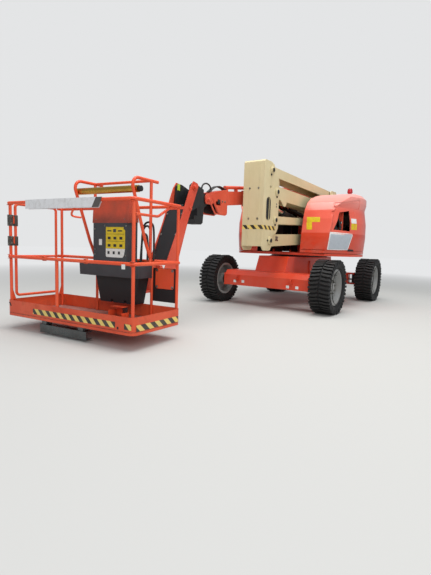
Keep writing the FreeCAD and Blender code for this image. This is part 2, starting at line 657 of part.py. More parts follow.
def main_boom():
    tube = boom_box(150, BOOM_LENGTH, BOOM_DEPTH, BOOM_WIDTH, BOOM_WALL)
    half = BOOM_DEPTH / 2
    tail = [(-70, -60), (-70, 60), (60, half), (170, half), (170, -half), (90, -half)]
    block = profile_beam(BOOM_PIVOT, BOOM_SLOPE, tail, BOOM_Y - BOOM_WIDTH / 2, BOOM_Y + BOOM_WIDTH / 2)
    block = block.cut(pin_y(BOOM_PIVOT, BOOM_Y - BOOM_WIDTH, BOOM_Y + BOOM_WIDTH, 30 + FIT))
    lug = [(1040, -half + 2), (1110, -half - 68), (1190, -half - 68), (1280, -half + 2)]
    lugs = []
    for s in (-1, 1):
        y0, y1 = sorted((BOOM_Y + s * 46, BOOM_Y + s * 62))
        lugs.append(profile_beam(BOOM_PIVOT, BOOM_SLOPE, lug, y0, y1))
        y0, y1 = sorted((BOOM_Y + s * 46, BOOM_Y + s * 72))
        lugs.append(pin_y(LIFT2_EYE, y0, y1, 22))
    saddles = [beam(BOOM_PIVOT, BOOM_SLOPE, s, s + 50, half - 2, CARRIER_UP - CARRIER_R - FIT,
                    BOOM_Y - 30, BOOM_Y + 30) for s in (BOOM_LENGTH - 1070, BOOM_LENGTH - 90)]
    return fused([tube, block] + lugs + saddles)


def fly_boom():
    tube = boom_box(FLY_BACK, FLY_FRONT, FLY_DEPTH, FLY_WIDTH, FLY_WALL)
    plug = beam(BOOM_PIVOT, BOOM_SLOPE, FLY_BACK, FLY_BACK + 20, -FLY_DEPTH / 2 + 2, FLY_DEPTH / 2 - 2,
                BOOM_Y - FLY_WIDTH / 2 + 2, BOOM_Y + FLY_WIDTH / 2 - 2)
    plate = [(2330, 1800), (2330, 1452), (2370, 1430), (2620, 1430), (2722, 1552), (2830, 1552),
             (2852, 1580), (2852, 1650), (2830, 1682), (2700, 1718)]
    outer = FLY_WIDTH / 2 + 15
    sides = [prism_y(plate, BOOM_Y + s * outer - (15 if s > 0 else 0),
                     BOOM_Y + s * outer + (15 if s < 0 else 0)) for s in (-1, 1)]
    top = prism_y([(2330, 1800), (2330, 1786), (2690, 1706), (2700, 1718)], BOOM_Y - outer, BOOM_Y + outer)
    nose_pin = pin_y(NOSE_PIVOT, BOOM_Y - outer, BOOM_Y + outer, PIN_R)
    web = box(2330, 2345, BOOM_Y - outer, BOOM_Y + outer, 1452, 1600)
    window = box(2490, 2610, BOOM_Y - outer - 1, BOOM_Y + outer + 1, 1562, 1612)
    corner = prism_y([(2532, 1446), (2612, 1446), (2704, 1556), (2672, 1580), (2650, 1574)],
                     BOOM_Y + outer - 16, BOOM_Y + outer + 1)
    return fused([tube, plug, top, nose_pin, web] + sides).cut(Part.makeCompound([window, corner]))


def hose_carrier():
    a = along(BOOM_PIVOT, BOOM_SLOPE, 900, CARRIER_UP)
    b = along(BOOM_PIVOT, BOOM_SLOPE, 3210, CARRIER_UP)
    tube = rod((a[0], BOOM_Y, a[1]), (b[0], BOOM_Y, b[1]), CARRIER_R)
    feet = [beam(BOOM_PIVOT, BOOM_SLOPE, s, s + 40, FLY_DEPTH / 2, CARRIER_UP - CARRIER_R + 8,
                 BOOM_Y - 22, BOOM_Y + 22) for s in (2880, 3150)]
    return fused([tube] + feet)


# Jib
def jib_knuckle():
    block = prism_y([(2735, 1650), (2735, 1575), (2850, 1500), (2872, 1295), (2905, 1270), (3020, 1272),
                     (3060, 1330), (3075, 1560), (3070, 1700), (2860, 1690), (2790, 1670)],
                    BOOM_Y - 80, BOOM_Y + 80)
    block = block.cut(box(3000, 3100, BOOM_Y - 100, BOOM_Y + 100, 1380, 1800))
    block = block.cut(pin_y(NOSE_PIVOT, BOOM_Y - 100, BOOM_Y + 100, PIN_R + FIT))
    yoke = box(2930, 2985, BOOM_Y - CHEEK_OUT, BOOM_Y + CHEEK_OUT, 1532, 1722)
    cheek = [(2930, 1532), (2930, 1722), (3100, 1775), (3165, 1778), (3205, 1745), (3228, 1500),
             (3225, 1440), (3170, 1425), (3120, 1450)]
    parts = [block, yoke]
    for y in (BOOM_Y + CHEEK_OUT - CHEEK_T, BOOM_Y - CHEEK_OUT):
        parts.append(prism_y(cheek, y, y + CHEEK_T))
    for s in (-1, 1):
        a, b = sorted((BOOM_Y + s * (CHEEK_OUT - CHEEK_T), BOOM_Y + s * (JIB_HALF + 4)))
        parts.append(pin_y(JIB_PIVOT, a, b, PIN_R))
    parts.append(pin_y(LINK_START, BOOM_Y + 58, BOOM_Y + CHEEK_OUT, 16))
    parts.append(pin_y(JIB_BASE, BOOM_Y - CHEEK_OUT, BOOM_Y + JIB_CYL_SIDE + 30, 18))
    return fused(parts)


def jib_boom():
    plate = [(-75, -30), (-60, 50), (30, 72), (560, 66), (1000, 84), (JIB + 10, 92), (JIB + 75, 45),
             (JIB + 75, -45), (JIB + 10, -88), (940, -92), (420, -58), (30, -62), (-60, -60)]
    parts = []
    for y in (BOOM_Y + JIB_HALF - JIB_PLATE, BOOM_Y - JIB_HALF):
        side = profile_beam(JIB_PIVOT, JIB_SLOPE, plate, y, y + JIB_PLATE)
        bores = [pin_y(at, y - 1, y + JIB_PLATE + 1, PIN_R + FIT) for at in (JIB_PIVOT, JIB_END)]
        parts.append(side.cut(Part.makeCompound(bores)))
    for s, n in ((300, 52), (1030, 66)):
        parts.append(beam(JIB_PIVOT, JIB_SLOPE, s, s + 40, n - 14, n + 8, BOOM_Y - JIB_HALF + 5,
                          BOOM_Y + JIB_HALF - 5))
    parts.append(pin_y(JIB_EYE, BOOM_Y - JIB_HALF, BOOM_Y + JIB_CYL_SIDE - JIB_EYE_W / 2 - 0.5, 18))
    return fused(parts)


def jib_cover():
    return beam(JIB_PIVOT, JIB_SLOPE, 345, 1025, 40, 58, BOOM_Y - JIB_HALF + JIB_PLATE,
                BOOM_Y + JIB_HALF - JIB_PLATE)


def jib_link():
    y0 = BOOM_Y + 65
    y1 = BOOM_Y + 95
    strap = beam(LINK_START, JIB_SLOPE, 0, JIB, -25, 25, y0, y1)
    eyes = [pin_y(at, y0, y1, 34) for at in (LINK_START, LINK_END)]
    bores = [pin_y(at, y0, y1, 16 + FIT) for at in (LINK_START, LINK_END)]
    return fused([strap] + eyes).cut(Part.makeCompound(bores))


def platform_support():
    cheek = [(3590, 640), (3660, 655), (3705, 738), (3740, 738), (3740, 462), (3700, 462), (3640, 400),
             (3590, 385), (3560, 430), (3575, 600)]
    parts = []
    for y in (BOOM_Y + CHEEK_OUT - CHEEK_T, BOOM_Y - CHEEK_OUT):
        parts.append(prism_y(cheek, y, y + CHEEK_T))
    back = box(3725, 3745, BOOM_Y - CHEEK_OUT, BOOM_Y + CHEEK_OUT, 462, 738)
    housing = Part.makeCylinder(ROTATOR_R, 300, Vector(ROTATOR[0], ROTATOR[1], 450))
    parts.append(back)
    parts.append(box(3730, ROTATOR[0], BOOM_Y - 60, BOOM_Y + 60, 460, 740))
    parts.append(housing)
    for s in (-1, 1):
        a, b = sorted((BOOM_Y + s * (CHEEK_OUT - CHEEK_T), BOOM_Y + s * (JIB_HALF + 4)))
        parts.append(pin_y(JIB_END, a, b, PIN_R))
    parts.append(pin_y(LINK_END, BOOM_Y + 58, BOOM_Y + CHEEK_OUT, 16))
    return fused(parts)


# Platform pieces, drawn in its own frame
def rotator_arm():
    u, v = to_deck(*ROTATOR)
    z0 = -DECK_CENTRE[2]
    low = 450 - FIT + z0
    high = 750 + FIT + z0
    plates = [Part.makeCylinder(ROTATOR_R - 8, 28, Vector(u, v, low - 28)),
              Part.makeCylinder(ROTATOR_R - 8, 28, Vector(u, v, high))]
    arms = [box(u, -HALF_U - 20, v - 75, v + 75, low - 28, low),
            box(u, -HALF_U - 20, v - 75, v + 75, high, high + 28)]
    panel = box(-HALF_U - 22, -HALF_U, v - 110, v + 110, low - 60, high + 45)
    return fused(plates + arms + [panel])


def platform_floor():
    outline = [(-HALF_U, -HALF_V), (HALF_U, -HALF_V), (HALF_U, HALF_V), (-HALF_U, HALF_V)]
    floor = prism_z(outline, 0, FLOOR_T)
    edges = [e for e in floor.Edges if abs(e.BoundBox.ZLength - FLOOR_T) < 0.01]
    floor = floor.makeFillet(CORNER_R, edges)
    outer = prism_z(outline, 0, TOE_H)
    outer = outer.makeFillet(CORNER_R, [e for e in outer.Edges if abs(e.BoundBox.ZLength - TOE_H) < 0.01])
    wall = TOE_WALL
    inner = prism_z([(u * (HALF_U - wall) / HALF_U, v * (HALF_V - wall) / HALF_V) for u, v in outline],
                    -1, TOE_H + 1)
    inner = inner.makeFillet(CORNER_R - wall,
                             [e for e in inner.Edges if abs(e.BoundBox.ZLength - TOE_H - 2) < 0.01])
    # a slit runs round between the floor's edge and the toe boards
    slit_out = prism_z([(u * 1.1, v * 1.1) for u, v in outline], FLOOR_T, FLOOR_T + SLIT_H)
    keep = prism_z([(u * (HALF_U - 3) / HALF_U, v * (HALF_V - 3) / HALF_V) for u, v in outline],
                   FLOOR_T - 1, FLOOR_T + SLIT_H + 1)
    keep = keep.makeFillet(CORNER_R - 3, [e for e in keep.Edges
                                          if abs(e.BoundBox.ZLength - SLIT_H - 2) < 0.01])
    return fused([floor, outer.cut(inner)]).cut(slit_out.cut(keep))


def open_ring(height, r=RAIL_R):
    # the rail leaves the gateway in the right-hand end free
    u = HALF_U - RAIL_IN
    v = HALF_V - RAIL_IN
    points = [(GATE_HALF + 15, -v, height), (u, -v, height), (u, v, height), (-u, v, height),
              (-u, -v, height), (-GATE_HALF - 15, -v, height)]
    return bar(points, r, 42)


def top_rail():
    # a grab bar hangs below the left end, from the back bend of the rail to the near corner post
    v = HALF_V - RAIL_IN
    low = TOP_RAIL - GRAB_DROP
    post = HALF_U - RAIL_IN - POST_IN
    grab = bar([(post - RAIL_R - FIT, v - POST_IN, low), (0, v - POST_IN, low),
                (-235, v - POST_IN / 2, TOP_RAIL)], 13, 90)
    return fused([open_ring(TOP_RAIL), grab])


def mid_rail():
    return open_ring(MID_RAIL)


def platform_posts():
    u = HALF_U - RAIL_IN
    v = HALF_V - RAIL_IN
    posts = []
    low = FLOOR_T
    rails = Part.makeCompound([open_ring(w, RAIL_R + FIT) for w in (MID_RAIL, TOP_RAIL)])
    for pu, pv in ((u, v), (-u, v), (u, -v), (-u, -v)):
        du = pu - math.copysign(POST_IN, pu)
        dv = pv - math.copysign(POST_IN, pv)
        post = rod((du, dv, low), (du, dv, TOP_RAIL), RAIL_R - 1)
        if dv < 0:
            # a gusset stiffens each post of the gateway above the toe board
            reach = math.copysign(GATE_HALF + 5, du)
            gusset = prism_y([(reach, TOE_H), (du, TOE_H), (du, TOE_H + 160)], dv - 3, dv + 3)
            post = fused([post, gusset])
        posts.append(post.cut(rails))
    lugs = [box(GATE_HALF + FIT, u - POST_IN, -v - 6, -v + 14, w, w + 80) for w in (790, 1010)]
    posts[2] = fused([posts[2]] + lugs)
    toe = HALF_U - TOE_WALL - FIT
    toe_boards = [box(u0, u0 + 60, -HALF_V, HALF_V, 0, TOE_H + FIT) for u0 in (toe, -toe - 60)]
    taken = Part.makeCompound([rails] + toe_boards)
    for pu, pv in [(u, FRONT_POST_V)] + [(-u, pv) for pv in POST_V]:
        posts.append(rod((pu, pv, low), (pu, pv, MID_RAIL), RAIL_R - 1).cut(taken))
    return Part.makeCompound(posts)


def guard_hoops():
    # two hoops stand inside the back rails, joined by a bar; their front legs lean back to the rear ones
    parts = []
    for pv in POST_V:
        foot = (HOOP_LEG_U + 4, pv, MID_RAIL + 40)
        knee = (HOOP_NOSE_U - HOOP_LEAN * (HOOP_TOP - 850), pv, 850)
        nose = (HOOP_NOSE_U, pv, HOOP_TOP)
        tail = (HOOP_LEG_U - HOOP_TAIL, pv, HOOP_TOP)
        parts.append(bar([tail, nose, knee, foot], HOOP_R, HOOP_BEND))
        parts.append(rod((HOOP_LEG_U, pv, MID_RAIL - 25), (HOOP_LEG_U, pv, HOOP_TOP), HOOP_R - 0.5))
    a, b = POST_V
    parts.append(rod((HOOP_LEG_U, a, HOOP_TOP), (HOOP_LEG_U, b, HOOP_TOP), HOOP_R - 2))
    return fused(parts)


def guard_tube():
    # the tube hangs behind both leaning legs
    a, b = POST_V
    w = HOOP_TOP - GUARD_TUBE_DROP
    reach = (GUARD_TUBE_R + HOOP_R + FIT) * math.hypot(1, HOOP_LEAN)
    u = HOOP_NOSE_U - HOOP_LEAN * GUARD_TUBE_DROP - reach
    return rod((u, a - 30, w), (u, b + 25, w), GUARD_TUBE_R)


def console():
    low = MID_RAIL - 20
    on_rail = -HALF_U + RAIL_IN + RAIL_R + FIT
    on_post = on_rail - 1
    v0, v1 = COVER_V
    base = prism_y([(on_rail, low), (-170, low), (-170, 1050), (on_rail, 1065)], v0 + 15, v1 - 15)
    cover = prism_y([(on_rail, 1065.3), (-170, 1050.3), (-190, 1330), (-300, 1345)], v0, v1)
    hollow = prism_y([(on_rail + 20, 1050), (-178, 1040), (-196, 1322), (-296, 1337)], v0 + 8, v1 - 8)
    cover = cover.cut(hollow)
    tray = prism_y([(on_post, 470), (-120, 470), (-110, 600), (on_post, 600)], -310, 545)
    lower = prism_x([(-60, 180), (440, 180), (500, 470), (-130, 470)], on_post, -190)
    notches = [rod((-215, v, 192), (-185, v, 192), 22) for v in (115, 305)]
    lower = lower.cut(Part.makeCompound(notches))
    return {"console_box": base, "console_cover": cover, "console_tray": tray, "storage_box": lower}


def rail_cover():
    # folded sheet over the front rail, cut slanted at its left end
    low = TOP_RAIL - 72
    high = TOP_RAIL + RAIL_R + 5
    back = HALF_U - 2 * RAIL_R - 4
    ends = [(-560, low), (455, low), (510, high), (-560, high)]
    outer = prism_x(ends, back, HALF_U + 4)
    return outer.cut(box(back + 4, HALF_U, -561, 511, low - 1, high - 4))


def gate():
    v = -(HALF_V - RAIL_IN)
    low = TOE_H + 40
    high = TOP_RAIL
    corners = [(-GATE_HALF + 15, v, low), (GATE_HALF - 15, v, low), (GATE_HALF - 15, v, high),
               (-GATE_HALF + 15, v, high)]
    first, last = loop_bar(corners, 15, 40)
    cross = rod((-GATE_HALF + 15, v, MID_RAIL), (GATE_HALF - 15, v, MID_RAIL), 13)
    return fused([first, last, cross])


def underfloor_channel():
    # a channel across the floor's underside, its open side to the back, hung from two brackets
    front = HALF_U - 20
    back = front - CHANNEL_W
    low = -CHANNEL_H - CHANNEL_DROP
    outer = box(back, front, -380, 300, low, -CHANNEL_DROP)
    inner = box(back - 1, front - CHANNEL_T, -381, 301, low + CHANNEL_T, -CHANNEL_DROP - CHANNEL_T)
    hangers = [box(back, front - CHANNEL_T, v, v + 70, -CHANNEL_DROP - CHANNEL_T, 0) for v in (-360, 180)]
    return fused([outer.cut(inner)] + hangers)


def side_guard():
    face = -(HALF_U - RAIL_IN) - RAIL_R + 1 - FIT
    return prism_x([(500, 215), (850, 215), (850, 580), (500, 580)], face - 6, face)


def write(name, shape):
    shape.exportStep("parts/%s.step" % name)
    print("%-22s solids %2d  volume %.4f m3" % (name, len(shape.Solids), shape.Volume / 1e9))


def main():
    os.makedirs("parts", exist_ok=True)
    corners = (("front_left", 1, 1), ("front_right", 1, -1), ("rear_left", -1, 1), ("rear_right", -1, -1))
    for name, lengthwise, side in corners:
        write("tyre_" + name, tyre(lengthwise * WHEEL_X, side * WHEEL_Y))
        write("rim_" + name, rim(lengthwise * WHEEL_X, side * WHEEL_Y, side))
    write("chassis_frame", chassis_frame())
    write("front_beam", front_beam())
    write("tie_down_lugs", tie_down_lugs())
    write("front_hubs", front_hubs())
    write("steer_axle", steer_axle())
    write("steering_knuckle_left", knuckle(1))
    write("steering_knuckle_right", knuckle(-1))
    write("tie_rod", tie_rod())
    write("slew_bearing", ring_z((0, 0), BEARING_R, BEARING_HOLE_R, FRAME_TOP, DECK_LOW - FIT))
    write("turntable_frame", turntable_frame())
    write("counterweight", counterweight())
    for name, shape in bay_blocks().items():
        write(name, shape)
    write("hood_left", hood_left())
    write("hood_right", hood_right())
    write("beacon", beacon())
    write("lower_tower_boom", lower_tower_boom())
    write("lower_tower_link", lower_link())
    write("mid_upright", mid_upright())
    write("upper_tower_boom", upper_tower_boom())
    write("upper_tower_link", upper_link())
    write("rear_upright", rear_upright())
    barrel, shaft = cylinder_pair(LIFT_BASE, LIFT_EYE, LIFT_Y, 48, 30, 20, 104, 1560)
    write("tower_cylinder_barrel", barrel)
    write("tower_cylinder_rod", shaft)
    write("main_boom", main_boom())
    write("fly_boom", fly_boom())
    write("hose_carrier", hose_carrier())
    barrel, shaft = cylinder_pair(LIFT2_BASE, LIFT2_EYE, BOOM_Y, 42, 28, 22, 91, 860)
    write("lift_cylinder_barrel", barrel)
    write("lift_cylinder_rod", shaft)
    write("jib_knuckle", jib_knuckle())
    write("jib_boom", jib_boom())
    write("jib_cover", jib_cover())
    write("jib_link", jib_link())
    barrel, shaft = cylinder_pair(JIB_BASE, JIB_EYE, BOOM_Y + JIB_CYL_SIDE, 38, 20, 18, JIB_EYE_W, 600)
    write("jib_cylinder_barrel", barrel)
    write("jib_cylinder_rod", shaft)
    write("platform_support", platform_support())
    deck = {"rotator_arm": rotator_arm(), "platform_floor": platform_floor(), "top_rail": top_rail(),
            "mid_rail": mid_rail(), "platform_posts": platform_posts(), "guard_hoops": guard_hoops(),
            "guard_tube": guard_tube(), "rail_cover": rail_cover(), "gate": gate(),
            "underfloor_channel": underfloor_channel(), "side_guard": side_guard()}
    deck.update(console())
    for name, shape in deck.items():
        write(name, placed(shape))


main()
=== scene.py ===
import math

import bmesh
import bpy
from mathutils import Matrix, Vector
from mathutils.bvhtree import BVHTree


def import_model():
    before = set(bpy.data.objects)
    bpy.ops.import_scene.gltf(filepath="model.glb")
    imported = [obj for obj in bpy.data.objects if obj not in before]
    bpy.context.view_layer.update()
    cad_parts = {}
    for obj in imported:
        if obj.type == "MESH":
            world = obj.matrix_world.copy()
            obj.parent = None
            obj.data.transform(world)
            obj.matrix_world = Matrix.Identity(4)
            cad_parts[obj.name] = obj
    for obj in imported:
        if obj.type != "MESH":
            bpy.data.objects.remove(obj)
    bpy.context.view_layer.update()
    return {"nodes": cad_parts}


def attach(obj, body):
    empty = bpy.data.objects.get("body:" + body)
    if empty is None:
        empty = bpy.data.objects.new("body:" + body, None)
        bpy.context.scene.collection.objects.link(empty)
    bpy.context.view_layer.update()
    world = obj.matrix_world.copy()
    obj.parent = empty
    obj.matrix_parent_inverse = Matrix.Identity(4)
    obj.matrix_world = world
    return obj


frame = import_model()
scene = bpy.context.scene

# Places shared by several pieces, in metres
CORNERS = {"front_left": (1, 1), "front_right": (1, -1), "rear_left": (-1, 1), "rear_right": (-1, -1)}
WHEEL = Vector((1.175, 1.013, 0.420))
LUGS_PER_SIDE = 21
TOWER_LEFT = 0.300
TOWER_RIGHT = -0.043
TOWER_FRONT = 2.060
TOWER_PINS = ((1.815, 1.100), (1.667, 1.416), (1.645, 1.838), (1.825, 2.133))
REAR_PINS = ((-0.9544, 1.7840), (-0.7744, 2.0790))
BOOM_Y = -0.250
BOOM_PIVOT = Vector((-0.950, BOOM_Y, 2.083))
NOSE_PIVOT = (2.790, 1.610)
NOSE_LEFT = BOOM_Y + 0.105
NOSE_RIGHT = BOOM_Y - 0.105
JIB_PIVOT = Vector((3.150, BOOM_Y, 1.720))
JIB_SLOPE = math.radians(-67.0)
JIB_END = (3.6345, 0.5786)
DECK_CENTRE = Vector((4.465, -0.443, 0.151))
DECK_YAW = math.radians(5.8)
HALF_U = 0.380
HALF_V = 0.915
MID_RAIL = 0.650
TOP_RAIL = 1.229
DECK = Matrix.Translation(DECK_CENTRE) @ Matrix.Rotation(DECK_YAW, 4, "Z")
JIB = Matrix.Translation(JIB_PIVOT) @ Matrix.Rotation(-JIB_SLOPE, 4, "Y")
HOOD_CREASE = 1.268
STRIPE_PITCH = 0.125
DUST = "#8B7D6C"
UNMOVED = Matrix.Identity(4)


def rgb(text):
    """A written colour such as #D6452B as linear red, green, blue and alpha."""
    channels = [int(text[i:i + 2], 16) / 255 for i in (1, 3, 5)]
    linear = [c / 12.92 if c <= 0.04045 else ((c + 0.055) / 1.055) ** 2.4 for c in channels]
    return (*linear, 1.0)


# Node helpers
def add(tree, kind, inputs=(), **settings):
    node = tree.nodes.new("ShaderNode" + kind)
    for name, value in settings.items():
        setattr(node, name, value)
    for name, value in dict(inputs).items():
        socket = node.inputs[name]
        if isinstance(value, bpy.types.NodeSocket):
            tree.links.new(value, socket)
        else:
            socket.default_value = value
    return node


def maths(tree, what, a, b=0.0, clamp=False):
    return add(tree, "Math", {0: a, 1: b}, operation=what, use_clamp=clamp).outputs[0]


def times(tree, a, b, clamp=False):
    return maths(tree, "MULTIPLY", a, b, clamp)


def plus(tree, a, b):
    return maths(tree, "ADD", a, b)


def split(tree, vector):
    return add(tree, "SeparateXYZ", {0: vector}).outputs


def mixed(tree, share, a, b):
    node = add(tree, "Mix", data_type="RGBA")
    for name, value in ((0, share), (6, a), (7, b)):
        if isinstance(value, bpy.types.NodeSocket):
            tree.links.new(value, node.inputs[name])
        else:
            node.inputs[name].default_value = value
    return node.outputs[2]


def spread(tree, value, low, high, to_low=0.0, to_high=1.0):
    node = add(tree, "MapRange", {0: value, 1: low, 2: high, 3: to_low, 4: to_high}, clamp=True)
    return node.outputs[0]


def noise(tree, vector, scale, detail=6.0, rough=0.6, squeeze=None):
    if squeeze:
        vector = add(tree, "Mapping", {"Vector": vector, "Scale": squeeze}).outputs[0]
    sockets = {"Vector": vector, "Scale": scale, "Detail": detail, "Roughness": rough}
    return add(tree, "TexNoise", sockets).outputs["Fac"]


def blank(name):
    material = bpy.data.materials.new(name)
    material.use_nodes = True
    tree = material.node_tree
    tree.nodes.clear()
    shader = add(tree, "BsdfPrincipled")
    out = add(tree, "OutputMaterial")
    tree.links.new(shader.outputs[0], out.inputs[0])
    return material, tree, shader


def textured(name):
    """An empty material and the place on the object, which its patterns follow."""
    material, tree, shader = blank(name)
    return material, tree, shader, add(tree, "TexCoord").outputs["Object"]


def edge_mask(tree, place, radius, amount):
    """Where the surface bends sharply, broken up by noise: 0 on flats, up to 1 on worn edges."""
    rounded = add(tree, "Bevel", {"Radius": radius}, samples=6).outputs[0]
    flat = add(tree, "NewGeometry").outputs["Normal"]
    dot = add(tree, "VectorMath", {0: rounded, 1: flat}, operation="DOT_PRODUCT").outputs["Value"]
    bent = spread(tree, dot, 0.995, 0.80)
    eased = 0.30 * amount
    patches = spread(tree, noise(tree, place, 14.0, 8.0, 0.7), 0.62 - eased, 0.80 - eased)
    return times(tree, bent, patches, clamp=True)


def finish_surface(tree, shader, colour, rough, bump, distance=0.002, bevel=0.0):
    tree.links.new(colour, shader.inputs["Base Color"])
    tree.links.new(rough, shader.inputs["Roughness"])
    ridges = add(tree, "Bump", {"Height": bump, "Distance": distance, "Strength": 0.5})
    if bevel:
        soft = add(tree, "Bevel", {"Radius": bevel}, samples=4).outputs[0]
        tree.links.new(soft, ridges.inputs["Normal"])
    tree.links.new(ridges.outputs[0], shader.inputs["Normal"])


def paint(name, colour, faded, rough=0.38, dust=0.35, dust_high=0.9, wear=0.3, worn="#7A3A26",
          bevel=0.004, scratches=0.25, grime_and_shade="#4A3A30"):
    """Painted metal: faded patches, dust that thins out upwards, scratches, chips along edges, and painted
    shade darkening nooks and crevices.
    """
    material, tree, shader, place = textured(name)
    z = split(tree, place)[2]
    cloud = spread(tree, noise(tree, place, 1.7, 5.0, 0.55), 0.35, 0.70)
    shade = mixed(tree, cloud, rgb(colour), rgb(faded))
    runs = spread(tree, noise(tree, place, 1.0, 6.0, 0.6, (16.0, 16.0, 0.9)), 0.52, 0.80)
    shade = mixed(tree, times(tree, runs, 0.30 * dust), shade, rgb(grime_and_shade))
    # Painted shade: nooks and crevices found by ambient occlusion are darkened towards the same dark tone
    # as the grime.
    nook_shade = add(tree, "AmbientOcclusion", {"Distance": 0.07}, samples=8).outputs["AO"]
    shade = mixed(tree, spread(tree, nook_shade, 0.55, 0.10, 0.0, 0.75), shade, rgb(grime_and_shade))
    low = spread(tree, z, dust_high, 0.0, 0.12, 1.0)
    specks = spread(tree, noise(tree, place, 7.0, 10.0, 0.72), 0.44, 0.72)
    film = times(tree, times(tree, low, specks), dust, clamp=True)
    shade = mixed(tree, film, shade, rgb(DUST))
    fine = noise(tree, place, 55.0, 4.0, 0.75, (1.0, 1.0, 2.6))
    marks = times(tree, spread(tree, fine, 0.665, 0.70), scratches)
    shade = mixed(tree, marks, shade, rgb(grime_and_shade))
    if wear:
        edge = edge_mask(tree, place, 0.006, wear)
        shade = mixed(tree, times(tree, edge, 0.85), shade, rgb(worn))
    dulled = plus(tree, film, times(tree, cloud, 0.15))
    gloss = spread(tree, dulled, 0.0, 1.0, rough, 0.85)
    orange_peel = noise(tree, place, 160.0, 2.0, 0.5)
    relief = plus(tree, times(tree, orange_peel, 0.08), times(tree, marks, -0.3))
    finish_surface(tree, shader, shade, gloss, relief, 0.0015, bevel)
    shader.inputs["Specular IOR Level"].default_value = 0.45
    return material


def shadowed_inside(material):
    """The turntable's tower plates: the same paint, painted black between the arms as painted shade."""
    tree = material.node_tree
    shader = next(node for node in tree.nodes if node.type == "BSDF_PRINCIPLED")
    painted = shader.inputs["Base Color"].links[0].from_socket
    x, y, z = split(tree, add(tree, "TexCoord").outputs["Object"])
    # Painted shade: a mask of the space between the tower arms, above the deck, painted near-black.
    inside = spread(tree, maths(tree, "ABSOLUTE", y), 0.47, 0.455)
    inside = times(tree, inside, spread(tree, z, 0.95, 0.99))
    inside = times(tree, inside, spread(tree, x, -1.02, -0.99))
    tree.links.new(mixed(tree, inside, painted, rgb("#19191A")), shader.inputs["Base Color"])
    return material


def moulded(name, colour, faded, rough=0.6, grain=320.0, metallic=0.0, bevel=0.003, dust=0.35):
    """Moulded plastic, rubber sheet or enamel: fine grain, greyed by dust where it lies flat."""
    material, tree, shader, place = textured(name)
    cloud = spread(tree, noise(tree, place, 4.0, 8.0, 0.7), 0.35, 0.72)
    shade = mixed(tree, cloud, rgb(colour), rgb(faded))
    up = split(tree, add(tree, "NewGeometry").outputs["Normal"])[2]
    lying = times(tree, spread(tree, up, 0.5, 1.0), dust)
    settled = times(tree, lying, spread(tree, noise(tree, place, 11.0, 8.0, 0.7), 0.35, 0.65))
    shade = mixed(tree, settled, shade, rgb("#8A8479"))
    pores = noise(tree, place, grain, 2.0, 0.6)
    gloss = spread(tree, cloud, 0.0, 1.0, rough, min(rough + 0.22, 1.0))
    finish_surface(tree, shader, shade, gloss, pores, 0.0006, bevel)
    shader.inputs["Metallic"].default_value = metallic
    return material


def bare_metal(name, colour, stained, rough, along=(1.0, 1.0, 1.0), stain=0.4, bevel=0.002):
    """Plated, chromed or galvanised metal with drawn marks and stains."""
    material, tree, shader, place = textured(name)
    cloud = spread(tree, noise(tree, place, 6.0, 8.0, 0.7), 0.45, 0.75)
    drawn = noise(tree, place, 40.0, 4.0, 0.6, along)
    shade = mixed(tree, times(tree, cloud, stain), rgb(colour), rgb(stained))
    gloss = plus(tree, times(tree, cloud, 0.25), times(tree, drawn, rough * 1.6))
    finish_surface(tree, shader, shade, gloss, drawn, 0.0004, bevel)
    shader.inputs["Metallic"].default_value = 1.0
    return material


def hazard(name):
    """Slanted black and yellow stripes that run on from a front face to a side face."""
    material, tree, shader, place = textured(name)
    x, y, z = split(tree, place)
    slant = maths(tree, "SUBTRACT", plus(tree, y, z), x)
    saw = maths(tree, "FRACT", plus(tree, times(tree, slant, 1.0 / STRIPE_PITCH), 40.0))
    dark = spread(tree, maths(tree, "PINGPONG", saw, 0.5), 0.24, 0.26)
    shade = mixed(tree, dark, rgb("#0B0B0C"), rgb("#EDD06C"))
    scuff = spread(tree, noise(tree, place, 24.0, 10.0, 0.75), 0.60, 0.68)
    shade = mixed(tree, times(tree, scuff, 0.75), shade, rgb("#B4553A"))
    film = spread(tree, noise(tree, place, 5.0, 6.0, 0.6), 0.3, 0.7, 0.0, 0.3)
    shade = mixed(tree, film, shade, rgb("#8A7C68"))
    finish_surface(tree, shader, shade, spread(tree, scuff, 0.0, 1.0, 0.42, 0.7), scuff, 0.0005)
    return material



def tyre_rubber():
    """Black rubber, grey with dust on the sidewall, with moulded rings round each wheel's axle."""
    material, tree, shader, place = textured("tyre_rubber")
    x, y, z = split(tree, place)
    dx = maths(tree, "SUBTRACT", maths(tree, "ABSOLUTE", x), WHEEL.x)
    dz = maths(tree, "SUBTRACT", z, WHEEL.z)
    square = plus(tree, maths(tree, "POWER", dx, 2.0), maths(tree, "POWER", dz, 2.0))
    reach = maths(tree, "SQRT", square)
    rings = maths(tree, "PINGPONG", times(tree, reach, 60.0), 0.5)
    side = spread(tree, reach, 0.372, 0.350)
    dusty = spread(tree, noise(tree, place, 9.0, 10.0, 0.7), 0.36, 0.68)
    shade = mixed(tree, times(tree, dusty, 0.45), rgb("#0A0A0C"), rgb("#191817"))
    crown = spread(tree, reach, 0.400, 0.419, 0.0, 0.55)
    shade = mixed(tree, times(tree, crown, dusty), shade, rgb("#262422"))
    moulding = times(tree, rings, times(tree, side, 0.5))
    relief = plus(tree, moulding, noise(tree, place, 120.0, 4.0, 0.6))
    finish_surface(tree, shader, shade, spread(tree, dusty, 0.0, 1.0, 0.55, 0.85), relief, 0.003, 0.005)
    return material


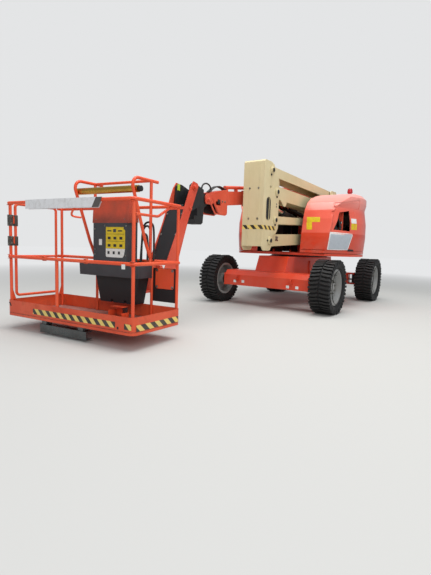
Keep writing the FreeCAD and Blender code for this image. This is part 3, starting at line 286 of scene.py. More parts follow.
def hood_paint():
    """Moulded hood: red gel coat, lighter and pinker above the crease and deeper red below it, as painted
    light and shade; inward faces darkened nearly to black as painted shade.
    """
    material, tree, shader, place = textured("hood_paint")
    x, y, z = split(tree, place)
    cloud = spread(tree, noise(tree, place, 1.4, 5.0, 0.55), 0.35, 0.70)
    # Painted light and shade: lighter red above the crease, turning pink towards the top, and deeper red
    # below it.
    high = mixed(tree, cloud, rgb("#DE5541"), rgb("#E66A56"))
    high = mixed(tree, spread(tree, z, 1.62, 1.97), high, rgb("#F6ACA2"))
    low = mixed(tree, cloud, rgb("#CA391F"), rgb("#D04328"))
    shade = mixed(tree, spread(tree, z, HOOD_CREASE - 0.004, HOOD_CREASE + 0.004), low, high)
    runs = spread(tree, noise(tree, place, 1.0, 6.0, 0.6, (18.0, 18.0, 0.8)), 0.55, 0.80)
    shade = mixed(tree, times(tree, runs, 0.10), shade, rgb("#6A4038"))
    low_down = spread(tree, z, 1.25, 0.93)
    film = times(tree, low_down, spread(tree, noise(tree, place, 8.0), 0.4, 0.7))
    shade = mixed(tree, times(tree, film, 0.30), shade, rgb(DUST))
    # Painted shade: faces that look in towards the middle of the turntable are darkened nearly to black.
    along_x, along_y = split(tree, add(tree, "TexCoord").outputs["Normal"])[:2]
    outward = plus(tree, times(tree, x, along_x), times(tree, y, along_y))
    shade = mixed(tree, spread(tree, outward, -0.05, -0.20), shade, rgb("#1C0E0B"))
    ripple = noise(tree, place, 5.0, 2.0, 0.4)
    finish_surface(tree, shader, shade, spread(tree, film, 0.0, 1.0, 0.28, 0.6), ripple, 0.002, 0.010)
    return material



def deck_plate():
    """Platform floor and toe boards: worn bare where feet stand, orange on the boards."""
    material, tree, shader, place = textured("deck_plate")
    z = split(tree, place)[2]
    up = split(tree, add(tree, "NewGeometry").outputs["Normal"])[2]
    on_floor = times(tree, spread(tree, up, 0.8, 0.9), spread(tree, z, 0.19, 0.185))
    cloud = spread(tree, noise(tree, place, 2.1, 5.0, 0.6), 0.35, 0.7)
    boards = mixed(tree, cloud, rgb("#D2451F"), rgb("#DE5C36"))
    stains = spread(tree, noise(tree, place, 6.5, 10.0, 0.72), 0.50, 0.70)
    boards = mixed(tree, times(tree, stains, 0.35), boards, rgb("#7E4A38"))
    edge = edge_mask(tree, place, 0.006, 0.8)
    boards = mixed(tree, times(tree, edge, 0.85), boards, rgb("#2B1C18"))
    chips = spread(tree, noise(tree, place, 30.0, 8.0, 0.8), 0.68, 0.70)
    boards = mixed(tree, chips, boards, rgb("#3A211B"))
    trodden = spread(tree, noise(tree, place, 12.0, 10.0, 0.8), 0.38, 0.62)
    tread = mixed(tree, trodden, rgb("#8C4A3E"), rgb("#A5837A"))
    shade = mixed(tree, on_floor, boards, tread)
    studs = add(tree, "TexVoronoi", {"Vector": place, "Scale": 42.0}).outputs["Distance"]
    relief = times(tree, studs, on_floor)
    finish_surface(tree, shader, shade, spread(tree, stains, 0.0, 1.0, 0.42, 0.75), relief, 0.003, 0.003)
    return material


def faded_cover(name, colour, faded, scorched):
    """Painted cover left outdoors: brown bloom at the bottom, pale rubbed patches."""
    material, tree, shader, place = textured(name)
    z = split(tree, place)[2]
    cloud = spread(tree, noise(tree, place, 5.0, 10.0, 0.72), 0.35, 0.68)
    shade = mixed(tree, cloud, rgb(colour), rgb(faded))
    bloom = plus(tree, spread(tree, z, 1.32, 1.235, 0.0, 0.70), times(tree, cloud, 0.30))
    shade = mixed(tree, times(tree, bloom, 0.8), shade, rgb(scorched))
    rubbed = spread(tree, noise(tree, place, 20.0, 8.0, 0.8), 0.62, 0.70)
    shade = mixed(tree, times(tree, rubbed, 0.3), shade, rgb("#C08070"))
    finish_surface(tree, shader, shade, spread(tree, cloud, 0.0, 1.0, 0.5, 0.8), cloud, 0.001, 0.006)
    return material


def sticker(name, colour, stained, rough=0.45):
    """A blank sticker or plate: flat colour, curled and stained by weather."""
    material, tree, shader, place = textured(name)
    cloud = spread(tree, noise(tree, place, 18.0, 8.0, 0.7), 0.45, 0.72)
    shade = mixed(tree, times(tree, cloud, 0.55), rgb(colour), rgb(stained))
    finish_surface(tree, shader, shade, spread(tree, cloud, 0.0, 1.0, rough, rough + 0.2), cloud, 0.0004)
    return material


LOOK = {
    "orange": paint("orange_paint", "#CE4228", "#DC5E45", wear=0.35),
    "turntable": shadowed_inside(paint("turntable_paint", "#CE4228", "#DC5E45", wear=0.25)),
    "chassis": paint("chassis_paint", "#D03A1E", "#DA4A2E", rough=0.30, dust=0.25, wear=0.15),
    "basket": paint("basket_paint", "#E04820", "#E86038", rough=0.40, dust=0.20, wear=0.8, worn="#3E241C",
                    dust_high=0.5, scratches=0.5),
    "hood": hood_paint(),
    "tan": paint("tan_paint", "#CFBE90", "#D9CBA3", rough=0.42, dust=0.30, dust_high=1.4, wear=0.2,
                 worn="#6E5B45", scratches=0.15, grime_and_shade="#5E4E3A"),
    "plastic": moulded("black_plastic", "#131416", "#222326", 0.50),
    "console": moulded("console_black", "#34363A", "#46484C", 0.55, 240.0),
    "steel": moulded("black_enamel", "#131416", "#26272A", 0.38, 120.0),
    "hose": moulded("hose_rubber", "#101112", "#232425", 0.50, 500.0),
    "engine": moulded("engine_iron", "#2A2826", "#3F3B37", 0.55, 60.0, 0.5),
    "tyre": tyre_rubber(),
    "rim": paint("rim_paint", "#8C8D8C", "#A0A19F", rough=0.42, dust=0.55, dust_high=0.9, wear=0.3,
                 worn="#6B4A38", grime_and_shade="#4C463E"),
    "zinc": bare_metal("zinc_steel", "#626667", "#4A423B", 0.36),
    "iron": moulded("iron_clamp", "#3B3836", "#4E4843", 0.55, 160.0),
    "chrome": bare_metal("chrome_rod", "#D8DCDF", "#8E8F90", 0.10, (1.0, 30.0, 1.0), 0.2),
    "bolt": bare_metal("bolt_zinc", "#8C8A84", "#5A4A3C", 0.35),
    "gold": bare_metal("gold_sleeve", "#C79C46", "#8A682C", 0.30, (0.4, 8.0, 8.0), 0.6),
    "grey_cover": sticker("cover_grey", "#DEDEE0", "#A8A4A0", 0.42),
    "hazard": hazard("hazard_stripe"),
    "deck": deck_plate(),
    "cover": faded_cover("console_cover_paint", "#D44C2E", "#BE5038", "#6B3A30"),
    "yellow": sticker("sticker_yellow", "#DCC018", "#A08C20"),
    "white": sticker("sticker_white", "#E2E3E0", "#B4B1A8"),
    "plate": sticker("panel_grey", "#AEB5BC", "#9DA4AA"),
    "lime": sticker("tag_lime", "#C8DC3C", "#9CA838"),
    "flap": moulded("cover_flap", "#4A4645", "#5E5854", 0.6, 200.0),
    "lens": moulded("beacon_lens", "#9C1420", "#B51E2A", 0.18, 900.0, dust=0.1),
}

NODE_LOOKS = {
    "turntable": ("turntable_frame",),
    "orange": ("counterweight", "main_boom", "fly_boom", "hose_carrier", "jib_boom",
               "platform_support", "rotator_arm"),
    "chassis": ("chassis_frame", "front_beam", "tie_down_lugs", "steer_axle"),
    "basket": ("top_rail", "mid_rail", "platform_posts", "guard_hoops", "gate"),
    "deck": ("platform_floor",),
    "cover": ("console_cover",),
    "hood": ("hood_left", "hood_right"),
    "tan": ("lower_tower_boom", "lower_tower_link", "mid_upright", "upper_tower_boom", "upper_tower_link",
            "rear_upright"),
    "steel": ("front_hubs", "steering_knuckle_left", "steering_knuckle_right", "tie_rod", "slew_bearing",
              "tower_cylinder_barrel", "lift_cylinder_barrel", "jib_knuckle", "jib_link",
              "jib_cylinder_barrel", "hydraulic_tank"),
    "chrome": ("tower_cylinder_rod", "lift_cylinder_rod", "jib_cylinder_rod"),
    "engine": ("engine_block",),
    "plastic": ("ground_control_box", "jib_cover", "storage_box", "side_guard"),
    "console": ("console_box", "console_tray"),
    "zinc": ("underfloor_channel",),
    "gold": ("guard_tube",),
    "grey_cover": ("rail_cover",),
    "lens": ("beacon",),
    "tyre": ["tyre_" + corner for corner in CORNERS],
    "rim": ["rim_" + corner for corner in CORNERS],
}
for look, names in NODE_LOOKS.items():
    for node_name in names:
        frame["nodes"][node_name].data.materials.clear()
        frame["nodes"][node_name].data.materials.append(LOOK[look])


# Modelling helpers: every shape is added to a bmesh, which becomes one piece
def soften(bm, edges, bevel):
    bmesh.ops.bevel(bm, geom=list(edges), offset=bevel, offset_type="OFFSET", segments=2,
                    profile=0.5, affect="EDGES", material=-1)


def cuboid(bm, low, high, bevel=0.0, place=UNMOVED):
    low, high = Vector(low), Vector(high)
    spot = place @ Matrix.Translation((low + high) / 2) @ Matrix.Diagonal((*(high - low), 1.0))
    made = bmesh.ops.create_cube(bm, size=1.0, matrix=spot)["verts"]
    if bevel:
        soften(bm, {edge for vert in made for edge in vert.link_edges}, bevel)


def between(a, b):
    """The matrix of a shape that runs along +Z, from a to b."""
    a, b = Vector(a), Vector(b)
    return Matrix.Translation((a + b) / 2) @ (b - a).to_track_quat("Z", "Y").to_matrix().to_4x4()


def round_bar(bm, a, b, r, segments=20, r2=None, bevel=0.0, place=UNMOVED):
    a, b = Vector(a), Vector(b)
    made = bmesh.ops.create_cone(bm, cap_ends=True, segments=segments, radius1=r,
                                 radius2=r if r2 is None else r2, depth=(b - a).length,
                                 matrix=place @ between(a, b))["verts"]
    if bevel:
        caps = [face for vert in made for face in vert.link_faces if len(face.verts) == segments]
        soften(bm, {edge for face in caps for edge in face.edges}, bevel)


def bolt(bm, at, out, r=0.009, h=0.007, place=UNMOVED):
    """A hexagon head on its washer, standing out along out."""
    at, out = Vector(at), Vector(out).normalized()
    round_bar(bm, at - out * 0.001, at + out * 0.002, r * 1.7, 16, place=place)
    round_bar(bm, at + out * 0.002, at + out * (0.002 + h), r, 6, bevel=r * 0.15, place=place)


def slab(bm, outline, depth, place=UNMOVED):
    """A flat plate from an outline of corners, thickened along the outline's normal by depth."""
    corners = [bm.verts.new(place @ Vector(corner)) for corner in outline]
    face = bm.faces.new(corners)
    face.normal_update()
    normal = face.normal.copy()
    grown = bmesh.ops.extrude_face_region(bm, geom=[face])["geom"]
    moved = [item for item in grown if isinstance(item, bmesh.types.BMVert)]
    bmesh.ops.translate(bm, vec=normal * depth, verts=moved)


def dress(name, mesh, body, crisp=None):
    """A mesh as a piece on its body, smooth shaded, with edges over crisp degrees kept sharp."""
    for polygon in mesh.polygons:
        polygon.use_smooth = True
    if crisp:
        mesh.set_sharp_from_angle(angle=math.radians(crisp))
    made = bpy.data.objects.new(name, mesh)
    scene.collection.objects.link(made)
    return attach(made, body)


def piece(bm, name, body, look, crisp=32.0):
    bmesh.ops.recalc_face_normals(bm, faces=bm.faces)
    mesh = bpy.data.meshes.new(name)
    bm.to_mesh(mesh)
    bm.free()
    mesh.materials.append(LOOK[look])
    return dress(name, mesh, body, crisp)


def bent_tube(name, routes, r, body, look, place=UNMOVED):
    """Round hoses or bars of one size, each along a smooth line through its control points."""
    curve = bpy.data.curves.new(name, "CURVE")
    curve.dimensions = "3D"
    curve.bevel_depth = r
    curve.bevel_resolution = 3
    curve.use_fill_caps = True
    for route in routes:
        spline = curve.splines.new("NURBS")
        spline.points.add(len(route) - 1)
        for point, corner in zip(spline.points, route):
            point.co = (*(place @ Vector(corner)), 1.0)
        spline.order_u = 3
        spline.use_endpoint_u = True
        spline.resolution_u = 8
    curve.materials.append(LOOK[look])
    drawn = bpy.data.objects.new(name + "_line", curve)
    scene.collection.objects.link(drawn)
    bpy.context.view_layer.update()
    mesh = bpy.data.meshes.new_from_object(drawn.evaluated_get(bpy.context.evaluated_depsgraph_get()))
    bpy.data.objects.remove(drawn)
    mesh.name = name
    return dress(name, mesh, body)


# Camera and stage, from the photograph's viewpoint
CAMERA_AT = Vector((7.215, 3.116, 0.984))
CAMERA_YAW = math.radians(214.972)
CAMERA_PITCH = math.radians(-5.866)
CAMERA_ROLL = math.radians(1.919)
CAMERA_LENS = 24.981
BACKDROP = "#E4E5E6"
FLOOR_COLOUR = "#C4C3BF"
FLOOR_FADE = (4.5, 13.0)


def camera():
    flat = math.cos(CAMERA_PITCH)
    ahead = Vector((math.cos(CAMERA_YAW) * flat, math.sin(CAMERA_YAW) * flat, math.sin(CAMERA_PITCH)))
    level = Vector((math.sin(CAMERA_YAW), -math.cos(CAMERA_YAW), 0.0))
    above = level.cross(ahead)
    right = math.cos(CAMERA_ROLL) * level + math.sin(CAMERA_ROLL) * above
    up = -math.sin(CAMERA_ROLL) * level + math.cos(CAMERA_ROLL) * above
    data = bpy.data.cameras.new("camera")
    data.sensor_width = 36.0
    data.lens = CAMERA_LENS
    data.clip_end = 200.0
    made = bpy.data.objects.new("camera", data)
    turned = Matrix((right, up, -ahead)).transposed().to_4x4()
    made.matrix_world = Matrix.Translation(CAMERA_AT) @ turned
    scene.collection.objects.link(made)
    scene.camera = made


def floor():
    bm = bmesh.new()
    bmesh.ops.create_grid(bm, x_segments=2, y_segments=2, size=60.0)
    mesh = bpy.data.meshes.new("floor")
    bm.to_mesh(mesh)
    bm.free()
    material, tree, shader = blank("floor")
    shader.inputs["Roughness"].default_value = 0.85
    shader.inputs["Specular IOR Level"].default_value = 0.1
    place = add(tree, "TexCoord").outputs["Object"]
    reach = add(tree, "VectorMath", {0: place}, operation="LENGTH").outputs["Value"]
    far = spread(tree, reach, *FLOOR_FADE)
    shader.inputs["Emission Color"].default_value = rgb(BACKDROP)
    tree.links.new(far, shader.inputs["Emission Strength"])
    tree.links.new(mixed(tree, far, rgb(FLOOR_COLOUR), rgb("#000000")), shader.inputs["Base Color"])
    mesh.materials.append(material)
    made = bpy.data.objects.new("floor", mesh)
    scene.collection.objects.link(made)


def softbox(name, at, aim, size, power):
    data = bpy.data.lights.new(name, "AREA")
    data.shape = "RECTANGLE"
    data.size, data.size_y = size
    data.energy = power
    made = bpy.data.objects.new(name, data)
    made.location = at
    made.rotation_euler = (Vector(aim) - Vector(at)).to_track_quat("-Z", "Y").to_euler()
    scene.collection.objects.link(made)


def world():
    sky = bpy.data.worlds.new("sky")
    sky.use_nodes = True
    tree = sky.node_tree
    tree.nodes.clear()
    ray = add(tree, "LightPath")
    seen = maths(tree, "MAXIMUM", ray.outputs["Is Camera Ray"], ray.outputs["Is Transmission Ray"])
    lit = add(tree, "Background", {"Color": rgb("#E8EEF4"), "Strength": 0.46})
    shown = add(tree, "Background", {"Color": rgb(BACKDROP), "Strength": 1.0})
    both = add(tree, "MixShader", {0: seen, 1: lit.outputs[0], 2: shown.outputs[0]})
    out = add(tree, "OutputWorld", {"Surface": both.outputs[0]})
    scene.world = sky


scene.view_settings.view_transform = "Standard"
camera()
floor()
softbox("overhead", (2.5, 1.0, 9.0), (1.5, -0.2, 0.5), (9.0, 7.0), 1000.0)
softbox("front_left", (9.5, 7.5, 4.5), (1.5, 0.0, 1.0), (5.0, 4.0), 330.0)
world()


# Wheels
STUDS = 9
STUD_CIRCLE = 0.102
BEAD_RINGS = ((0.262, 0.0045), (0.345, 0.003))


def wheel_fittings(corner, x, side):
    """Stud nuts, hub cap, valve and bead rings on one wheel."""
    body = "wheel_" + corner
    at = Vector((x, side * WHEEL.y, WHEEL.z))
    outward = Vector((0, side, 0))
    disc = at + outward * 0.029
    hub = bmesh.new()
    round_bar(hub, disc + outward * 0.028, disc + outward * 0.052, 0.062, 32, bevel=0.006)
    round_bar(hub, disc + outward * 0.052, disc + outward * 0.058, 0.034, 24, bevel=0.002)
    piece(hub, "hub_cap_" + corner, body, "rim")
    nuts = bmesh.new()
    for i in range(STUDS):
        turn = 2 * math.pi * (i + 0.3) / STUDS
        spoke = Vector((math.cos(turn), 0, math.sin(turn)))
        base = at + outward * 0.060 + spoke * STUD_CIRCLE
        bolt(nuts, base, outward, 0.013, 0.016)
        round_bar(nuts, base, base + outward * 0.030, 0.008, 10)
    piece(nuts, "wheel_nuts_" + corner, body, "bolt")
    rings = bmesh.new()
    upright = Matrix.Rotation(math.pi / 2, 4, "X")
    for reach, thick in BEAD_RINGS:
        circle = bmesh.ops.create_circle(rings, cap_ends=False, segments=8, radius=thick,
                                         matrix=Matrix.Translation((reach, 0, 0)) @ upright)
        rim_edges = list({edge for vert in circle["verts"] for edge in vert.link_edges})
        bmesh.ops.spin(rings, geom=circle["verts"] + rim_edges, cent=(0, 0, 0), axis=(0, 0, 1),
                       angle=2 * math.pi, steps=64, use_merge=True)
    turned = Matrix.Translation(at + outward * 0.158) @ upright
    bmesh.ops.transform(rings, matrix=turned, verts=rings.verts)
    piece(rings, "bead_rings_" + corner, body, "tyre")
    valve = bmesh.new()
    spoke = Vector((math.cos(2.1), 0, math.sin(2.1)))
    root = at + outward * 0.050 + spoke * 0.205
    neck = root + outward * 0.028 + spoke * 0.006
    round_bar(valve, root, neck, 0.005, 10)
    round_bar(valve, neck, root + outward * 0.042 + spoke * 0.008, 0.007, 10)
    piece(valve, "valve_" + corner, body, "hose")


# One bar, seen from outside the tyre: how far out from the middle, and how far round
BAR_OUTLINE = ((0.008, -0.015), (0.088, -0.001), (0.159, 0.002), (0.159, 0.038), (0.092, 0.034),
               (0.008, 0.017))


def tread_bars(corner, x, side):
    """Bars half a pitch away from the tyre's own lugs, which close up the tread as on the real tyre."""
    centre = Vector((x, side * WHEEL.y, WHEEL.z))
    bars = bmesh.new()
    for hand in (-1, 1):
        for i in range(LUGS_PER_SIDE):
            turn = 2 * math.pi * (i + (1.0 if hand > 0 else 0.5)) / LUGS_PER_SIDE
            corners = [(shift, hand * out, 0.360) for out, shift in BAR_OUTLINE]
            place = Matrix.Translation(centre) @ Matrix.Rotation(turn, 4, "Y")
            slab(bars, corners[::-1] if hand > 0 else corners, 0.0545, place)
    piece(bars, "tread_bars_" + corner, "wheel_" + corner, "tyre", 40.0)


for corner, (sx, sy) in CORNERS.items():
    wheel_fittings(corner, sx * WHEEL.x, sy)
    tread_bars(corner, sx * WHEEL.x, sy)


# Plates and stickers: thin closed shapes laid on a face
def outline_x(x, corners):
    """An outline in the plane x, from its corners (y, z)."""
    return [(x, y, z) for y, z in corners]


def face_x(x, y0, y1, z0, z1, lean=0.0):
    """A rectangle that looks along +X, its top edge shifted along Y by lean."""
    return [(x, y0, z0), (x, y1, z0), (x, y1 + lean, z1), (x, y0 + lean, z1)]


def face_y(y, x0, x1, z0, z1):
    """A rectangle that looks along +Y."""
    return [(x0, y, z0), (x0, y, z1), (x1, y, z1), (x1, y, z0)]


def plates(name, body, look, outlines, depth=0.0015, place=UNMOVED):
    bm = bmesh.new()
    for outline in outlines:
        slab(bm, outline, depth, place)
    piece(bm, name, body, look)


def decal(name, hood, corners, look, lift, steps=12):
    """A thin sheet pressed on a hood. The corners run counter-clockwise as seen from outside."""
    mesh = frame["nodes"][hood]
    skin = BVHTree.FromPolygons([mesh.matrix_world @ vert.co for vert in mesh.data.vertices],
                                [face.vertices[:] for face in mesh.data.polygons])
    a, b, c, d = [Vector(corner) for corner in corners]
    out = (b - a).cross(d - a).normalized()
    bm = bmesh.new()
    sheets = []
    for height in (lift, -0.0008):
        rows = []
        for i in range(steps + 1):
            low, high = a.lerp(b, i / steps), d.lerp(c, i / steps)
            spots = [low.lerp(high, j / steps) for j in range(steps + 1)]
            hits = [skin.ray_cast(spot + out * 0.12, -out)[0] or spot for spot in spots]
            rows.append([bm.verts.new(hit + out * height) for hit in hits])
        sheets.append(rows)
    for rows in sheets:
        for near, far in zip(rows, rows[1:]):
            for j in range(steps):
                bm.faces.new((near[j], far[j], far[j + 1], near[j + 1]))
    rim = [(i, 0) for i in range(steps)] + [(steps, j) for j in range(steps)]
    rim += [(i, steps) for i in range(steps, 0, -1)] + [(0, j) for j in range(steps, 0, -1)]
    over, under = sheets
    for (i, j), (k, m) in zip(rim, rim[1:] + rim[:1]):
        bm.faces.new((over[i][j], under[i][j], under[k][m], over[k][m]))
    piece(bm, name, hood, look, 60.0)


KEEPER_T = 0.006
KEEPER_EDGE = 0.014


def pin_cap(bm, x, y, z, side, r=0.034, keeper=None, reach=0.85):
    """A pin's collar and head, and a keeper plate that runs from the pin to its bolt."""
    out = Vector((0, side, 0))
    at = Vector((x, y, z))
    round_bar(bm, at, at + out * r * 0.25, r * 1.1, 28, bevel=0.0015)
    round_bar(bm, at + out * r * 0.25, at + out * r * reach, r * 0.70, 24, bevel=0.003)
    if keeper:
        tip = at + Vector((keeper[0], 0, keeper[1]))
        face = y + side * KEEPER_T
        low = (min(at.x, tip.x) - KEEPER_EDGE, min(y, face), min(at.z, tip.z) - KEEPER_EDGE)
        high = (max(at.x, tip.x) + KEEPER_EDGE, max(y, face), max(at.z, tip.z) + KEEPER_EDGE)
        cuboid(bm, low, high, 0.001)


def pin_heads(name, body, pins, r, look, reach):
    """What holds a row of pins (x, y, z, side, keeper): a dark washer and bolt, the washer also a painted
    shade ring in the pin head's recess, and the keeper's bolt.
    """
    bm = bmesh.new()
    for x, y, z, side, keeper in pins:
        at = Vector((x, y, z))
        out = Vector((0, side, 0))
        # The dark washer, partly painted shade for the recess round the bolt.
        round_bar(bm, at + out * r * reach, at + out * r * (reach + 0.05), r * 0.58, 24)
        bolt(bm, at + out * r * (reach + 0.05), out, 0.013, 0.010)
        if keeper:
            bolt(bm, at + Vector((keeper[0], side * KEEPER_T, keeper[1])), out, 0.010, 0.008)
    piece(bm, name, body, look)


def slot_shade_ring(bm, x, y, depth, inner, outer, steps=12):
    """A flat ring between two upright slots (half width, low centre, high centre), seen along y; in black
    it is painted shade that widens a slot's dark opening.
    """
    loops = []
    for r, low, high in (inner, outer):
        for at in (y, y + depth):
            ring = []
            for start, z in ((0.0, high), (math.pi, low)):
                for i in range(steps + 1):
                    turn = start + math.pi * i / steps
                    ring.append(bm.verts.new((x + r * math.cos(turn), at, z + r * math.sin(turn))))
            loops.append(ring)
    for a, b in ((0, 1), (1, 3), (3, 2), (2, 0)):
        for i in range(len(loops[a])):
            j = (i + 1) % len(loops[a])
            bm.faces.new((loops[a][i], loops[a][j], loops[b][j], loops[b][i]))


# Basket: stripes, plates and fittings, in the platform's own frame
FLOOR_TOP = 0.029
CONSOLE_FACE = -0.170
PLATE_FACE = -0.1684
plates("stripes_front", "platform", "hazard",
       [face_x(HALF_U, -0.464, 0.700, 0.055, 0.112), face_x(HALF_U, 0.810, 0.895, 0.054, 0.106)],
       place=DECK)
plates("stripes_end", "platform", "hazard", [face_y(HALF_V, -0.324, 0.335, 0.036, 0.096)], place=DECK)
plates("slash_front", "platform", "plastic",
       [face_x(HALF_U, -0.850, -0.826, 0.105, 0.145, -0.024), face_x(HALF_U, 0.722, 0.742, 0.045, 0.070)],
       0.001, DECK)
plates("console_plate", "platform", "yellow",
       [outline_x(CONSOLE_FACE, ((0.038, 0.774), (0.315, 0.774), (0.315, 0.972), (0.292, 0.985),
                                 (0.292, 1.006), (0.038, 1.006)))], place=DECK)
plates("console_plate_low", "platform", "white",
       [outline_x(CONSOLE_FACE, ((0.038, 0.690), (0.050, 0.678), (0.280, 0.678), (0.300, 0.702),
                                 (0.315, 0.772), (0.038, 0.772))),
        face_x(CONSOLE_FACE, -0.067, -0.021, 0.807, 0.873)], place=DECK)
# Blank marks on the plate: two lines, then rows of boxes (width, low edge, high edge, left edges)
marks = [face_x(PLATE_FACE, 0.052, 0.302, z, z + 0.0035) for z in (0.852, 0.929)]
for width, low, high, lefts in ((0.042, 0.792, 0.822, (0.066, 0.150, 0.236)),
                                (0.042, 0.872, 0.902, (0.066, 0.150, 0.236)),
                                (0.060, 0.958, 0.972, (0.060, 0.215)),
                                (0.030, 0.712, 0.744, (0.064, 0.140, 0.216))):
    marks += [face_x(PLATE_FACE, y, y + width, low, high) for y in lefts]
plates("console_plate_marks", "platform", "steel", marks, 0.0006, DECK)
plates("console_plate_window", "platform", "zinc", [face_x(PLATE_FACE, 0.146, 0.186, 0.950, 0.986)],
       0.0008, DECK)
screws = bmesh.new()
for v, w in ((-0.128, 0.705), (-0.128, 0.760), (-0.128, 0.985), (0.020, 1.020), (0.325, 1.020),
             (0.325, 0.705)):
    bolt(screws, (CONSOLE_FACE, v, w), (1, 0, 0), 0.006, 0.004, DECK)
piece(screws, "console_screws", "platform", "bolt")

cover_trim = bmesh.new()
for v in (-0.120, 0.302):
    for w in (1.09, 1.30):
        bolt(cover_trim, (-0.1744 - 0.0714 * (w - 1.05), v, w), (1, 0, 0.07), 0.007, 0.004, DECK)
piece(cover_trim, "cover_rivets", "platform", "bolt")
plates("rail_cover_flap", "platform", "flap",
       [outline_x(HALF_U + 0.004, ((0.403, TOP_RAIL - 0.071), (0.490, TOP_RAIL - 0.071),
                                   (0.532, TOP_RAIL + 0.021), (0.455, TOP_RAIL + 0.021)))], place=DECK)

tube_ends = bmesh.new()
for v0, v1 in ((-0.345, -0.320), (0.555, 0.590)):
    round_bar(tube_ends, (-0.0996, v0, 1.390), (-0.0996, v1, 1.390), 0.030, 28, bevel=0.004, place=DECK)
piece(tube_ends, "guard_tube_caps", "platform", "plastic")

pedal_guard = bmesh.new()
for low, high in (((-0.150, 0.212, FLOOR_TOP), (-0.146, 0.312, 0.160)),
                  ((-0.150, 0.212, FLOOR_TOP), (-0.030, 0.216, 0.120)),
                  ((-0.150, 0.392, FLOOR_TOP), (-0.040, 0.396, 0.100)),
                  ((-0.150, 0.212, 0.156), (-0.060, 0.396, 0.160))):
    cuboid(pedal_guard, low, high, 0.0015, DECK)
piece(pedal_guard, "pedal_guard", "platform", "basket")
pedal = bmesh.new()
cuboid(pedal, (-0.145, 0.318, FLOOR_TOP), (-0.139, 0.384, 0.155), 0.001, DECK)
cuboid(pedal, (-0.130, 0.230, FLOOR_TOP), (-0.050, 0.380, 0.046), 0.004, DECK)
for v in (0.250, 0.280, 0.310, 0.340):
    cuboid(pedal, (-0.128, v, 0.046), (-0.052, v + 0.012, 0.050), 0.001, DECK)
for w in (0.130, 0.060):
    bolt(pedal, (-0.139, 0.351, w), (1, 0, 0), 0.008, 0.006, DECK)
piece(pedal, "foot_switch", "platform", "zinc")

SIDE_GUARD_FRONT = -0.3780
plates("side_guard_plate", "platform", "basket",
       [outline_x(SIDE_GUARD_FRONT, ((0.590, 0.357), (0.800, 0.357), (0.817, 0.375), (0.817, 0.560),
                                     (0.800, 0.578), (0.590, 0.578), (0.572, 0.560), (0.572, 0.375)))],
       0.004, DECK)
guard_bolts = bmesh.new()
for v in (0.592, 0.797):
    for w in (0.378, 0.557):
        bolt(guard_bolts, (SIDE_GUARD_FRONT + 0.004, v, w), (1, 0, 0), 0.009, 0.006, DECK)
piece(guard_bolts, "side_guard_bolts", "platform", "bolt")
plates("mid_rail_tag", "platform", "white", [face_x(0.3815, 0.775, 0.817, 0.602, 0.646)], 0.002, DECK)
bent_tube("console_hoses", [
    [(-0.345, 0.395, 0.62), (-0.350, 0.392, 0.95), (-0.352, 0.430, 1.065), (-0.352, 0.520, 1.075),
     (-0.352, 0.566, 1.00), (-0.350, 0.560, 0.66)],
    [(-0.325, 0.405, 0.62), (-0.330, 0.410, 0.92), (-0.330, 0.440, 1.020), (-0.330, 0.500, 1.035),
     (-0.330, 0.540, 0.96), (-0.330, 0.535, 0.66)],
    [(-0.300, 0.420, 0.62), (-0.305, 0.425, 0.85), (-0.305, 0.470, 0.960), (-0.305, 0.520, 0.900),
     (-0.300, 0.515, 0.66)]], 0.011, "platform", "hose", DECK)
bent_tube("rail_hook", [
    [(0.362, 0.165, 1.190), (0.362, 0.150, 1.165), (0.355, 0.095, 1.105), (0.330, 0.080, 1.085),
     (0.300, 0.110, 1.075), (0.260, 0.130, 1.075)]], 0.010, "platform", "basket", DECK)

# Gate hinges: clamps on the platform's post, collars on the gate's stile
POST_U, POST_V, CLAMP_HALF = 0.344, -0.878, 0.022
STILE_U, STILE_V, COLLAR_HALF = 0.270, -0.898, 0.0195
clamps = bmesh.new()
collars = bmesh.new()
nuts = bmesh.new()
for low, high in ((0.768, 0.872), (0.984, 1.104)):
    cuboid(clamps, (POST_U - CLAMP_HALF, POST_V - CLAMP_HALF, low),
           (POST_U + CLAMP_HALF, POST_V + CLAMP_HALF, high), 0.004, DECK)
    cuboid(clamps, (0.297, -0.9010, low + 0.012), (0.324, -0.8955, high - 0.012), 0.001, DECK)
    cuboid(collars, (STILE_U - COLLAR_HALF, STILE_V - COLLAR_HALF, low),
           (STILE_U + COLLAR_HALF, STILE_V + COLLAR_HALF, high), 0.004, DECK)
    for w in (low + 0.024, high - 0.024):
        for du, dv in ((0, 1), (0, -1), (1, 0)):
            spot = (POST_U + du * CLAMP_HALF, POST_V + dv * CLAMP_HALF, w)
            bolt(nuts, spot, (du, dv, 0), 0.010, 0.006, DECK)
piece(clamps, "gate_hinge_clamps", "platform", "iron")
piece(collars, "gate_hinge_collars", "gate", "iron")
piece(nuts, "gate_hinge_bolts", "platform", "bolt")

# Welds where the rails meet their posts
beads = bmesh.new()
for v in (-0.878, -0.300, 0.300, 0.878):
    for w, out in ((TOP_RAIL - 0.017, -1), (MID_RAIL + 0.017, 1), (MID_RAIL - 0.017, -1)):
        round_bar(beads, (0.358, v, w), (0.358, v, w + out * 0.006), 0.0225, 20, 0.0185, place=DECK)
piece(beads, "rail_welds", "platform", "basket")
